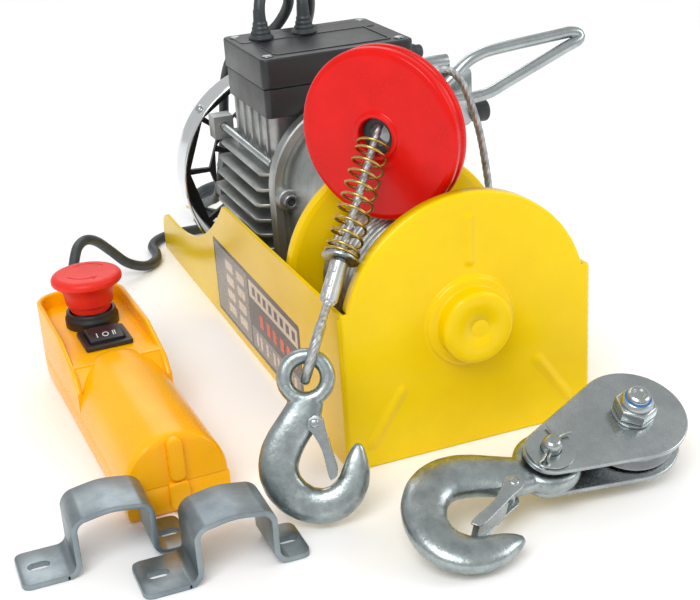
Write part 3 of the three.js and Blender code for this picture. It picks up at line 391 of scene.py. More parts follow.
# An outline in x and z with its depth running to -Y, and one in y and z with its depth running to +X.
UPRIGHT = Matrix(((1, 0, 0, 0), (0, 0, -1, 0), (0, 1, 0, 0), (0, 0, 0, 1)))
ALONG_X = Matrix(((0, 0, 1, 0), (1, 0, 0, 0), (0, 1, 0, 0), (0, 0, 0, 1)))


def at_y(loop, y):
    """An outline in x and z set upright at y."""
    return np.stack([loop[:, 0], np.full(len(loop), y), loop[:, 1]], -1)


def loft(outlines):
    """A closed skin over a stack of outlines with the same number of points."""
    return shell(np.array(outlines))


# ---- cables and rope ----------------------------------------------------------------------
COIL = (14.0, 470.0, 44.0)               # the coil's middle in x and y, and its radius
SHEATH_D, ROPE_D, ROPE_LAY = 7.5, 4.6, 27
PENDANT_ENTRY, MAINS_ENTRY = (-31.6, 236.6), (-1.5, 236.3)   # where the cables enter the box's lid
PLUG_X, PLUG_Z = 82, 13.4
DRUM_EXIT = [54.3, 75, 77]               # where the rope leaves the drum


def coil_turns(start, end, high, low, count):
    """Clockwise turns round the coil's middle, sinking evenly: (x + r cos a, y + r sin a, z)."""
    angle = np.radians(np.linspace(start, end, count))
    x, y, r = COIL
    return np.stack([x + r * np.cos(angle), y + r * np.sin(angle), np.linspace(high, low, count)], -1)


def lead(name, points, body, *nodes):
    """A round sheath along its route; returns the piece and the route in the row frame."""
    route = smooth_path(points, 2.5)
    thing = piece(name, swept(route, SHEATH_D / 2, 20), SHEATH, body, *nodes, sharp=60)
    return thing, row(route).tolist()


down_from_box = [
    [*PENDANT_ENTRY, 196.2], [*PENDANT_ENTRY, 207], [-29, 240, 219], [-20, 250, 226], [-6, 262, 222],
    [2, 275, 208], [-2, 292, 190], [-12, 320, 172], [-20, 348, 161], [-24, 366, 135], [-26, 376, 90],
    [-30, 386, 52], [-30, 402, 36], [-30, 425, 26], [-30, 450, 16]]
along_to_pendant = [
    [-6, 424.5, 4.2], [-20, 423.5, 4.2], [-34, 423, 4.2], [-50, 423.5, 4.2], [-66, 423, 4.2], [-80, 415, 4.2],
    [-87.5, 401, 4.2], [-88, 386, 4.2], [-92.5, 370, 4.2], [-104, 357.5, 6], [-118, 353.5, 13],
    [-129.5, 350, 25.7], [-140.4, 341, 38.4], [-149.6, 332, 44.5], [-157.8, 321, 44.5], [-163.5, 308, 40],
    [-168.5, 294, 33], [-173, 280, 26.5], [-176, 267, 22.3], [-177.8, 256, 20.3], [-178.39, 244.15, 20]]
pendant_route = np.vstack([down_from_box, coil_turns(180, -450, 11.5, 3.95, 48), along_to_pendant])
cable, route = lead("pendant_lead", pendant_route, "hoist",
                    "pendant_cable_upper", "pendant_cable_coil", "pendant_cable_lower")

mains_route = [[*MAINS_ENTRY, 196.2], [*MAINS_ENTRY, 207], [0, 240, 219], [5, 250, 225], [12, 263, 219],
               [18, 277, 204], [20, 295, 186], [20, 320, 171], [21, 347, 162], [23, 364, 135],
               [26, 374, 92], [34, 384, 54], [48, 398, 32], [64, 408, 19], [77, 418, 13.5],
               [PLUG_X, 428, 13.2], [PLUG_X, 436.3, 13.2]]
mains, route = lead("mains_lead", mains_route, "hoist", "mains_cable")


def plug_body():
    """Moulded two-pin plug: a stack of rounded rectangles that swells behind the pins, and two round pins."""
    sizes = [(5, 0), (6.5, 4), (8, 10), (12, 14), (15, 20), (16, 30), (16, 40), (15, 43.5)]
    rows = []
    for half, along in sizes:
        loop = rounded(-half, half, -min(half, 12.8), min(half, 12.8), min(half * 0.6, 6))
        rows.append(at_y(loop + [PLUG_X, PLUG_Z], 436.6 + along))
    return loft(rows)


plug = piece("moulded_plug", plug_body(), SHEATH, "hoist", "mains_plug")
pin = [[0, 479], [2.4, 479], [2.4, 497], [1.5, 498.6], [0, 498.6]]
pins = [revolved(pin, centre=(PLUG_X + x, 0, PLUG_Z), sides=24) for x in (-9.5, 9.5)]
plug_pins = piece("plug_pins", pins, MILD, "hoist")


def lobes(lay, depth=0.22):
    """Six strands round a rope: the radius dips six times round the section, which turns once in each lay."""
    return lambda angle, distance: 1 - depth + depth * np.abs(np.cos(3 * (angle - TAU * distance / lay)))


on_rope = lambda distance: (EYE + ROPE_RISE * distance).tolist()
HOLE = float(np.linalg.norm(np.array(DISC_CENTRE) - EYE))      # from the eye to the disc's hole
rope_line = [DRUM_EXIT, [54.1, 75, 92], [53, 76, 110], [51, 77, 132], [47.5, 78, 156], [42, 79, 176],
             [36, 79, 189], [26, 77.5, 196.5], [14, 74, 195], [2, 68.5, 189], [-9, 62, 184],
             [-18.6, 56.4, 180.2], [-23.2, 52.6, 179.4], [-27.4, 49.2, 176.5], on_rope(HOLE - 4),
             on_rope(HOLE - 14), on_rope(110), on_rope(88), on_rope(65.8)]
rope_points = smooth_path(rope_line, 1.0)
rope = piece("rope_tail", swept(rope_points, ROPE_D / 2, 30, lobes(ROPE_LAY)), STRANDS, "hoist",
             "rope_free", sharp=180)


# ---- rope end and hooks -------------------------------------------------------------------
def relief(name, matrix, start, end, body, *nodes):
    """A moulded boot round a cable: a ribbed cone, narrowing from its seat to the free cable."""
    along = np.linspace(start, end, 45)
    part = (along - start) / (end - start)
    radius = 6.6 - 2.1 * part + 0.45 * np.sign(np.sin(part * 13 * pi)) * (part < 0.95) * (part > 0.12)
    profile = np.vstack([[0, start], np.stack([radius, along], -1), [3.9, end], [0, end]])
    return piece(name, revolved(profile, matrix, sides=32, soft=0.25), SHEATH, body, *nodes, sharp=50)


def rope_end():
    """The swaged ferrule, its washer and the yellow spring on the straight stretch of rope."""
    crimp = lambda a, y: 1 - 0.05 * (np.abs(np.cos(a)) > 0.93) * (np.sin((y - 41.5) / 24 * 3 * TAU) > -0.2)
    along = np.linspace(43, 64, 50)
    barrel = np.stack([np.full(len(along), 4.9), along], -1)
    profile = np.vstack([[0, 41.5], [4.0, 41.5], barrel, [4.0, 65.4], [0, 65.4]])
    sleeve = revolved(profile, ROPE_FRAME, sides=64, soft=0, ripple=crimp)
    ferrule = piece("swaged_ferrule", sleeve, SWAGED, "hoist", "ferrule")
    washer = revolved(oblong(2.9, 10.3, 66.1, 67.3), ROPE_FRAME, closed=True, soft=0.25)
    piece("zinc_washer", washer, ZINC, "hoist", "spring_washer")
    turns, low, high, coil, wire = 10.5, 68.9, 134, 8.9, 0.85
    t = np.linspace(0, 1, 560)
    pitch = np.interp(t, [0, 0.09, 0.93, 1], [0, 0.03, 0.975, 1])
    angle = TAU * turns * t
    helix = np.stack([coil * np.cos(angle), low + (high - low) * pitch, coil * np.sin(angle)], -1)
    piece("buffer_spring", swept(helix, wire, 12, matrix=ROPE_FRAME), CHROMATE, "hoist", "compression_spring",
          sharp=70)


def rope_eye():
    """The rope laid round its zinc thimble: one closed loop of rope with a channel-shaped liner inside it."""
    normal = -np.array(LOOK)
    across = normal - ROPE_RISE * (normal @ ROPE_RISE)
    across /= np.linalg.norm(across)
    flat = ROPE_RISE - normal * (ROPE_RISE @ normal)
    flat /= np.linalg.norm(flat)
    legs = [(42, 2.3), (38, 2.9), (28, 5.2), (17, 8.6), (9, 9), (2, 6.2), (-1.4, 0)]
    legs += [(s, -w) for s, w in legs[-2::-1]]
    def at(s, w):
        straight = min(max((s - 17) / 21, 0), 1)
        along = flat * (1 - straight) + ROPE_RISE * straight
        return EYE + along / np.linalg.norm(along) * s + across * w
    line = smooth_path([at(s, w) for s, w in legs], 0.8)
    eye = piece("rope_eye", swept(line, 2.25, 30, lobes(24)), STRANDS, "hoist", "thimble", sharp=180)
    inner = smooth_path([at(s, w - np.sign(w) * 1.5) for s, w in legs if 1 < s < 34 or w == 0], 1.0)
    piece("thimble_liner", swept(inner, 2.75, 14), ZINC, "hoist")


# centre x and y, half width, half thickness
HOOK_STATIONS = np.array([[0.6, -10, 8.6, 4.9], [-0.2, -14, 9.2, 5.3], [-2.0, -19.4, 10.0, 5.7],
                          [-6.3, -26, 9.9, 6.0], [-9.9, -31.8, 10.2, 6.1], [-12.7, -37.9, 10.5, 6.1],
                          [-14.1, -44, 10.4, 6.1], [-13.7, -49.8, 10.3, 6.1], [-11.3, -55.6, 10.1, 6.1],
                          [-6.4, -61, 9.8, 6.0], [0.8, -65, 9.3, 5.9], [9.3, -66.1, 9.2, 5.8],
                          [16.2, -64, 9.1, 5.7], [21.7, -59.2, 8.7, 5.4], [24.9, -53.2, 8.0, 5.1],
                          [25.9, -47, 7.2, 4.7], [26.2, -41.6, 5.7, 4.1], [26.8, -36.6, 3.6, 3.1],
                          [27.0, -33.6, 1.6, 1.6]])


def forged_hook(name, matrix, body, *nodes):
    """An eye hook: ovals carried round the bowl, x = c + w n cos a, z = t sin a, fused to the eye's ring."""
    s = np.linspace(0, len(HOOK_STATIONS) - 1, 110)
    knots = np.arange(len(HOOK_STATIONS))
    table = np.stack([np.interp(s, knots, HOOK_STATIONS[:, k]) for k in range(4)], -1)
    kernel = np.array([1, 4, 6, 4, 1]) / 16
    table[2:-2] = np.stack([np.convolve(table[:, k], kernel, "valid") for k in range(4)], -1)
    a = np.linspace(0, TAU, 40, endpoint=False)
    wide, deep = [np.sign(wave) * np.abs(wave) ** 0.8 for wave in (np.cos(a), np.sin(a))]
    across = leftward(table[:, :2])
    flat = table[:, None, :2] + table[:, 2:3, None] * wide[None, :, None] * across[:, None]
    points = np.concatenate([flat, (table[:, 3:4] * deep[None])[..., None]], -1)
    b = np.linspace(0, TAU, 72, endpoint=False)
    ring = 11.2 + 4.1 * wide[None, :] + 0 * b[:, None]
    eye = np.stack([ring * np.cos(b)[:, None], ring * np.sin(b)[:, None],
                    np.broadcast_to(4.9 * deep[None], ring.shape)], -1)
    meshes = [shell(points, matrix), shell(eye, matrix, rows_close=True, caps=False)]
    fuse = [("REMESH", {"mode": "VOXEL", "voxel_size": 0.55 * MM, "use_smooth_shade": True}),
            ("SMOOTH", {"factor": 0.5, "iterations": 9})]
    return piece(name, meshes, FORGED, body, *nodes, sharp=180, modifiers=fuse)


def latch(name, matrix, body, *nodes):
    """A folded sheet latch: a cheek on each side of the neck, the web between them, and its rivet."""
    cheek = smooth_path([[1.4, -20.8, 0], [4.6, -18.7, 0], [8.4, -20.6, 0], [10.2, -27, 0], [13.4, -37, 0],
                         [16.4, -47.6, 0], [14.6, -51, 0], [12.2, -50.4, 0], [8.6, -37, 0], [4.2, -29, 0],
                         [1.0, -25, 0], [1.4, -20.8, 0]], 1.0)[:-1, :2]
    web = [[9.6, -32], [12.1, -31.2], [15.2, -48.4], [13.2, -50]]
    meshes = [plate([loop], low, high, 0.3, matrix)
              for loop, low, high in [(cheek, 6.15, 7.35), (cheek, -7.35, -6.15), (web, -6.3, 6.3)]]
    rivet = revolved([[0, -8.3], [1.9, -8.1], [2.5, -7.3], [2.5, 7.3], [1.9, 8.1], [0, 8.3]],
                     matrix @ moved(4.6, -22.8, 0) @ TO_Z, sides=32)
    return piece(name, meshes + [rivet], ZINC, body, *nodes)


def stop_disc():
    """The red moulded stop disc: a flat face, a grooved rim, and a raised lip round the rope hole."""
    profile = [[10.4, 12.6], [10.4, -1.0], [11, -1.6], [13, -1.6], [13.6, -0.6], [14.4, 0], [44.5, 0],
               [47.2, 0.7], [48.4, 2.4], [48.4, 5.2], [47.3, 6.1], [46.9, 7.5], [47.3, 8.9], [48.4, 9.8],
               [48.4, 12.6], [47.2, 14.3], [44.5, 15], [12.5, 15], [10.4, 14]]
    disc = revolved(profile, DISC_FRAME, closed=True, soft=0.5, sides=160)
    piece("red_stop_disc", disc, RED_ABS, "disc", "stop_disc")
    bush = revolved(oblong(6.2, 10.3, 3.5, 12.5), DISC_FRAME, closed=True, soft=0.6, sides=64)
    piece("disc_rubber_bush", bush, SHEATH, "disc")


# ---- frame, drum and gearbox --------------------------------------------------------------
def front_plate():
    """The pressed end plate: rings round the boss from its cup out to the plate's outline.

    Each point lies at angle a and part s of the way to the outline R(a); its depth is the boss's profile
    near the middle, less a soft ridge along each of three straight beads, and the arched top turns back.
    """
    half, arch, sill = 75, 73, 18      # half the width, the arch's radius, the arch's foot above the axis
    foot, shoulder = np.degrees(np.arctan2(sill, half)), np.degrees(np.arcsin(sill / arch))
    heel = np.degrees(np.arctan2(-DRUM_Z, half))
    special = np.array([foot, shoulder, 180 - shoulder, 180 - foot, 180 - heel, heel + 360])
    angle = np.radians(np.sort(np.concatenate([np.arange(0, 360, 1.0), special])))
    ca, sa = np.cos(angle), np.sin(angle)
    rim = sa > sill / arch
    with np.errstate(divide="ignore"):
        below, above = DRUM_Z / np.abs(sa), sill / np.maximum(sa, 1e-9)
        straight = np.minimum(half / np.abs(ca), np.where(sa < 0, below, above))
    outline = np.where(rim, float(arch), straight)
    boss = eased([[0, -13], [19.2, -13], [20.9, -11.2], [20.9, -3.4], [23.6, -2.9], [25.4, -2.2], [26.6, 0],
                  [28, 0]], 1.4, 4)
    boss[0, 0] = 0.05
    parts = np.concatenate([np.linspace(0, 0.96, 46), [0.975, 0.985, 0.993, 0.998, 1.0]])
    flat = 28 + (outline[None] - 28) * parts[1:, None]
    radius = np.vstack([np.broadcast_to(boss[:, :1], (len(boss), len(angle))), flat])
    x, z = radius * ca, DRUM_Z + radius * sa
    y = np.vstack([np.broadcast_to(boss[:, 1:], (len(boss), len(angle))), np.zeros_like(flat)])
    for x0, z0, x1, z1 in [(1, 111, 1, 135), (-42, 43, -61, 15), (42, 43, 61, 15)]:
        run, rise = x1 - x0, z1 - z0
        along = np.clip(((x - x0) * run + (z - z0) * rise) / (run ** 2 + rise ** 2), 0, 1)
        away = np.hypot(x - x0 - along * run, z - z0 - along * rise)
        ridge = np.clip(1 - away / 4.2, 0, 1)
        y = y - 1.7 * ridge * ridge * (3 - 2 * ridge)
    ease = np.clip((radius - outline[None] + 1.6) / 1.6, 0, 1)
    y = y + 1.0 * ease ** 2
    x = np.vstack([x, outline * ca, outline * ca])
    z = np.vstack([z, DRUM_Z + outline * sa, DRUM_Z + outline * sa])
    y = np.vstack([y, np.full((1, len(angle)), 2.2), np.where(rim, 7.8, 2.5)[None]])
    points = np.stack([x, y, z], -1)
    thicken = [("SOLIDIFY", {"thickness": 2.2 * MM, "offset": -1.0})]
    piece("pressed_front_plate", shell(points, caps=False), ENAMEL, "hoist", "front_end_plate", sharp=40,
          modifiers=thicken)
    dot = [[0, -13.05], [5, -13.05], [5.2, -12.9], [0, -12.9]]
    piece("boss_centre", revolved(dot, centre=(0, 0, DRUM_Z), sides=48, soft=0), ENAMEL, "hoist")


def welds():
    """Weld beads where the plate meets the walls: a rope of small overlapping scallops."""
    scallop = lambda a, d: 1 + 0.16 * np.abs(np.sin(d * pi / 2.1))
    lines = [[[x, 2.9, z] for z in np.linspace(4, 92, 60)] for x in (-74.6, 74.6)]
    piece("corner_welds", [swept(line, 1.5, 14, scallop) for line in lines], ENAMEL, "hoist", sharp=50)


def drum():
    """The rope drum: its rear flange with a rolled rim, a long helix of rope, and the layer beneath it."""
    flange = [[30, 95.3], [67, 95.3], [70.2, 96.2], [71, 98], [71, 102.4], [70, 103.2], [68.7, 102.4],
              [68.7, 98.4], [67, 97.6], [30, 97.6]]
    flange = revolved(flange, centre=(0, 0, DRUM_Z), closed=True, soft=0.5, sides=160)
    piece("painted_drum_flange", flange, ENAMEL, "drum", "drum_rear_flange")
    turns = 15.5
    t = np.linspace(0, 1, 2300)
    a = TAU * turns * t
    wander = 0.35 * np.sin(2.3 * a / turns * 3) + 0.25 * np.sin(a * 0.37 + 1)
    radius = 49.15 + 0.3 * np.sin(a * 0.21) + 0.15 * np.sin(a * 1.7)
    y = 14 + 76 * t + wander
    helix = np.stack([radius * np.cos(a), y, DRUM_Z + radius * np.sin(a)], -1)
    piece("wound_rope_outer", swept(helix, ROPE_D / 2, 20, lobes(ROPE_LAY)), STRANDS, "drum",
          "rope_winding", sharp=180)
    wave = lambda a, y: 1 + 0.006 * np.abs(np.sin(y * pi / 4.7))
    along = np.linspace(9, 94.6, 200)
    layer = np.vstack([[45.4, 9], np.stack([np.full(len(along), 47.0), along], -1), [45.4, 94.6]])
    layer = revolved(layer, centre=(0, 0, DRUM_Z), closed=True, soft=0, sides=96, ripple=wave)
    piece("wound_rope_inner", layer, STRANDS, "drum", sharp=60)


def arch_loop(half, foot, crown, count=40):
    return np.vstack([arc(0, crown, half, 0, 180, count), [[-half, foot], [half, foot]]])


def stadium(radius, low, high, count=28):
    return np.vstack([arc(0, high, radius, 0, 180, count), arc(0, low, radius, 180, 360, count)])


def gearbox():
    """The cast gearbox: an arched flange with a raised band, and a domed cover with its foot and ears."""
    steps = [(53.6, 175.2), (54.5, 174.4), (54.5, 166.2), (53.6, 165.2), (48.6, 165.2), (47.6, 166),
             (47.0, 168.2), (30, 168.4)]
    flange = loft([at_y(arch_loop(half, 3.2, 110), y) for half, y in steps])
    steps = [(44.5, 168.6), (44.3, 163), (43.9, 158), (43.2, 150), (42.4, 140), (41.6, 128), (40.6, 121),
             (38.6, 117), (35.6, 114.2), (31.5, 112.6), (26, 112), (16, 111.8)]
    dome = loft([at_y(stadium(r, 80, 110), y) for r, y in steps])
    seat = revolved([[0, 111.4], [9.5, 111.4], [10.5, 110.6], [12.5, 110.6], [13.5, 112.5], [14, 116],
                     [0, 116]], centre=(0, 0, 116), sides=64)
    ears = [(x, 0, 107) for x in (-46.5, 46.5)]
    boss = [[0, 158.6], [6.4, 158.6], [7.2, 159.4], [7.6, 169], [0, 169]]
    bosses = [revolved(boss, centre=ear, sides=48) for ear in ears]
    piece("cast_gearbox", [flange, dome, seat] + bosses, CAST, "hoist", "gearbox_housing", sharp=34)
    head = [[0, 157.2], [2.5, 157.2], [2.6, 154.2], [4.2, 154.0], [4.8, 154.6], [4.8, 158.4], [0, 158.4]]
    screws = [revolved(head, centre=ear, sides=48, soft=0.25) for ear in ears]
    piece("socket_cap_screws", screws, MILD, "hoist")
    # Painted shade: a thin charcoal hexagon at the bottom of each screw's socket stands for the shade inside
    # the recess.
    dark = [revolved(oblong(0, 2.5, 156.9, 157.1), centre=ear, sides=6, soft=0) for ear in ears]
    piece("screw_socket_painted_shade", dark, SHEATH, "hoist")


def motor():
    """The finned stator housing: a round barrel, level cooling fins with cut-back ends, and the pedestal."""
    barrel = revolved(oblong(41, 46.5, 176, 281), centre=(0, 0, MOTOR_Z), closed=True)
    fins = []
    for z in range(38, 126, 10):
        tip = 62 - 0.0042 * (z - MOTOR_Z) ** 2
        for hand in (-1, 1):
            loop = np.array([[26, 180], [tip - 9, 180], [tip - 2, 184], [tip, 187], [tip, 273],
                             [tip - 3, 277.5], [26, 277.5]]) * [hand, 1]
            fins.append(plate([loop[::hand]], -1.2, 1.2, 0.6, moved(0, 0, z)))
    top = plate([rounded(-45, 45, 190, 270, 6)], 112, 155.3, 1.0)
    ribs = [plate([rounded(-47, 47, y - 1.3, y + 1.3, 1)], 114, 153, 0.5) for y in (196, 212, 228, 244, 260)]
    piece("finned_motor_body", [barrel, top] + fins + ribs, CAST, "hoist", "motor_housing")
    for name, side, node in [("tie_rod_left", -1, "tie_bolt_left"), ("tie_rod_right", 1, "tie_bolt_right")]:
        rod = revolved([[0, 176], [2.5, 176.2], [2.5, 295.2], [4.6, 295.2], [4.6, 298.2], [3.4, 299],
                        [0, 299]], centre=(side * 50.5, 0, 127), sides=32)
        piece(name, rod, ZINC, "hoist", node)


def fan_end():
    """The chromed fan cover: a rolled ring with a bead at its mouth and a rounded rear edge."""
    ring = [[75.6, 306.2], [76.4, 305.8], [77.4, 306.4], [77.5, 309], [76.7, 311], [76.7, 328], [76.3, 333],
            [74.6, 337.4], [71.6, 340.6], [68.4, 341.8], [68.2, 340.6], [71, 339.4], [73.6, 336.6],
            [75.2, 332.4], [75.5, 328]]
    ring = revolved(ring, centre=(0, 0, MOTOR_Z), closed=True, soft=0.5, sides=180)
    piece("chromed_fan_cover", ring, CHROME, "hoist", "fan_cover")
    heads = []
    for turn in (48, -48, 132, -132):
        place = moved(0, 0, MOTOR_Z) @ spun(turn, "Y") @ moved(0, 322, 76.4) @ TO_Z
        heads.append(revolved([[0, 2.4], [2.2, 2.2], [3.4, 1.2], [3.6, 0], [0, 0]], place, sides=32))
    piece("cover_screws", heads, ZINC, "hoist")


# ---- control box and lever ----------------------------------------------------------------
def control_box():
    """The switch box on the motor: base, lid with a shallow panel, screw heads and the side boot."""
    piece("switch_box_base", plate([rounded(-50.5, 50.5, 177, 261, 4)], 155.5, 174, 0.7), BLACK_ABS,
          "hoist", "box_base")
    lid = [plate([rounded(-51.5, 51.5, 176, 262, 5)], 174.3, 193.4, 1.3)]
    groove = [rounded(-40, 40, 184, 250, 4), rounded(-38.4, 38.4, 185.6, 248.4, 3.4)[::-1]]
    lid.append(plate(groove, 193.1, 194.0, 0.25))
    lid.append(plate([rounded(-47.5, 47.5, 230, 258, 4)], 193.0, 193.9, 0.4))
    piece("switch_box_lid", lid, BLACK_ABS, "hoist", "box_lid")
    head = [[0, 1.2], [1.4, 1.1], [3.2, 0.7], [3.8, 0], [0, 0]]
    screws = [revolved(head, moved(x, y, 193.7) @ TO_Z, sides=32)
              for x, y in [(-45, 252), (45.2, 252), (-45, 184), (44.5, 184)]]
    piece("lid_screws", screws, MILD, "hoist")
    ribs = [[0, 193.8], [8.2, 193.8], [8.4, 195.2], [7.0, 196.4], [6.4, 197], [6.6, 198.6], [5.6, 199.6],
            [5.7, 201.4], [4.9, 202.4], [5.0, 204.2], [4.3, 205.4], [3.9, 213], [0, 213]]
    for cable_name, (x, y) in [("pendant", PENDANT_ENTRY), ("mains", MAINS_ENTRY)]:
        piece(cable_name + "_entry_boot", revolved(ribs, moved(x, y, 0) @ TO_Z, sides=32, soft=0.35), SHEATH,
              "hoist", cable_name + "_grommet")
    turn = moved(51.4, 187, 182) @ spun(-90)
    boot = [[0, 0], [7, 0], [7, 1.6], [5.2, 2.2], [5.4, 4.6], [4.6, 5.2], [4.6, 8.4], [3.8, 9.4], [0, 9.6]]
    piece("side_boot", revolved(boot, turn, sides=40, soft=0.3), SHEATH, "hoist")


def lever():
    """The cut-out lever: a rod bent into a long loop, its hub, sleeve, bracket and rubber buffer."""
    line = [[41, 118.5, 167], [50, 118, 165.3], [62, 118, 165.3], [75, 118.5, 166.8], [88, 119, 171.5],
            [128, 120, 186.6], [135.5, 120.4, 189.0], [140, 121.6, 191.0], [139.6, 122.8, 193.8],
            [134, 123.6, 195.2], [126, 124, 194.6], [84, 125, 191.4], [72, 125.2, 189.4],
            [63, 125.4, 185.4], [52, 125.4, 176.5], [43, 125.2, 170.5]]
    hub = revolved(oblong(3.4, 8, 113.2, 130.3), centre=(38, 0, 169), closed=True, sides=64)
    rod = swept(smooth_path(line, 1.5), 3.6, 24)
    piece("bent_cutout_lever", [rod, hub], ZINC, "lever", "limit_lever", sharp=60)
    sleeve = revolved(oblong(2.9, 4.6, -12, 12), moved(42, 133.5, 186.4) @ spun(90), closed=True, soft=0.4,
                      sides=48)
    piece("spacer_sleeve", sleeve, ZINC, "hoist", "lever_sleeve")
    buffer = [[3.4, 0], [6.6, 0], [7, 0.8], [7, 8.4], [6, 9.8], [3.4, 9.9]]
    buffer = revolved(buffer, moved(70.4, 133.5, 152) @ spun(-90), closed=True, soft=0.5, sides=64)
    piece("rubber_stop", buffer, SHEATH, "hoist", "rubber_buffer")
    arm = plate([rounded(30, 44, 134, 164.6, 2)], 144, 147, 0.4)
    web = plate([rounded(30, 70, 144, 181.5, 5)], -135, -132, 0.5, UPRIGHT)
    pivot = revolved([[0, 110.6], [4.6, 110.6], [4.6, 113], [3, 113], [3, 133], [0, 133]],
                     centre=(38, 0, 169), sides=40)
    stud = revolved(oblong(0, 3, -1, 8), moved(70, 133.5, 152) @ spun(-90), sides=32)
    piece("lever_bracket_plate", [arm, web, pivot, stud], ZINC, "hoist", "lever_bracket")


# ---- pendant control ----------------------------------------------------------------------
PENDANT_HALF, SPLIT_Z = 28.5, 18.3        # half the pendant's width, and the height of its parting line


def head_outline(inset=0.0, start=TRAY_START):
    """The tray's plan: straight sides up to a far end with rounded corners."""
    half, round_end, reach = PENDANT_HALF - inset, 16 - inset, PENDANT_LENGTH - 16
    straight = np.linspace(start, reach - 6, 26)
    return np.vstack([[[half, y] for y in straight],
                      arc(half - round_end, reach, round_end, 0, 90, 12),
                      arc(round_end - half, reach, round_end, 90, 180, 12),
                      [[-half, y] for y in straight[::-1]]])


def pendant_shells():
    """The pendant's two mouldings: the lower shell, and the half-round grip with the switches' tray."""
    plan = np.vstack([[[-PENDANT_HALF, 0.6]], [[PENDANT_HALF, 0.6]], head_outline(start=4)])
    middle = np.array([0, PENDANT_LENGTH / 2])
    steps = [(0.91, 0.0), (0.965, 1.4), (0.99, 4.4), (1.0, 9), (1.0, 17.3), (0.985, 17.9)]
    rows = [np.hstack([(plan - middle) * [k, 1 - (1 - k) * 0.26] + middle, np.full((len(plan), 1), z)])
            for k, z in steps]
    rib = plate([rounded(-5.6, 5.6, 3.5, 19.5, 2.6)], -4, 2.6, 0.9, PENDANT @ UPRIGHT)
    piece("pendant_back_shell", [shell(np.array(rows), PENDANT), rib], YELLOW_ABS, "pendant",
          "pendant_lower_shell", sharp=40)
    a = np.linspace(0, pi, 40)
    stages = [(0.90, 0.5), (0.95, 0.8), (0.98, 1.8), (0.995, 3.6), (1.0, 6), (1.0, 50)]
    stages += [(k, TRAY_START + y) for k, y in [(1.0, 0), (1.0, 15), (0.985, 20), (0.95, 24), (0.9, 26)]]
    grip = [np.stack([PENDANT_HALF * k * np.cos(a), np.full(len(a), y),
                      SPLIT_Z + 29 * (1.6 * k - 0.6) * np.sin(a)], -1) for k, y in stages]
    outline = head_outline()
    inward = leftward(outline)
    top = np.interp(outline[:, 1], [TRAY_START, TRAY_START + 8, TRAY_START + 42, PENDANT_LENGTH],
                    [33, 42.5, 52.2, 52.8])
    section = [(0, SPLIT_Z, 0), (0, None, -1.2), (0.35, None, -0.4), (1.2, None, 0.05), (2.2, None, -0.1),
               (3.0, None, -0.9), (3.3, None, -2.2), (3.6, 30.0, 0)]
    wall = []
    for depth, fixed, lift in section:
        z = np.full(len(outline), fixed) if fixed else top + lift
        wall.append(np.hstack([outline + inward * depth, z[:, None]]))
    floor = plate([head_outline(2.6, TRAY_START + 12)], 38, 44, 0.5, PENDANT)
    slope = [[TRAY_START + y, z] for y, z in [(1, 20), (40, 20), (40, 43.9), (13, 43.9), (1, 31)]]
    apron = plate([slope], -28.2, 28.2, 0.8, PENDANT @ ALONG_X)
    loop = plate([rounded(-4.4, 4.4, 20.5, 45.6, 3.8)], -6, 3.0, 1.1, PENDANT @ UPRIGHT)
    meshes = [shell(np.array(grip), PENDANT), shell(np.array(wall).transpose(1, 0, 2), PENDANT), floor,
              apron, loop]
    piece("pendant_front_shell", meshes, YELLOW_ABS, "pendant", "pendant_upper_shell", sharp=30)
    relief("pendant_cable_boot", PENDANT @ moved(0, 0, 20), PENDANT_LENGTH - 1, PENDANT_LENGTH + 26,
           "pendant", "pendant_strain_relief")


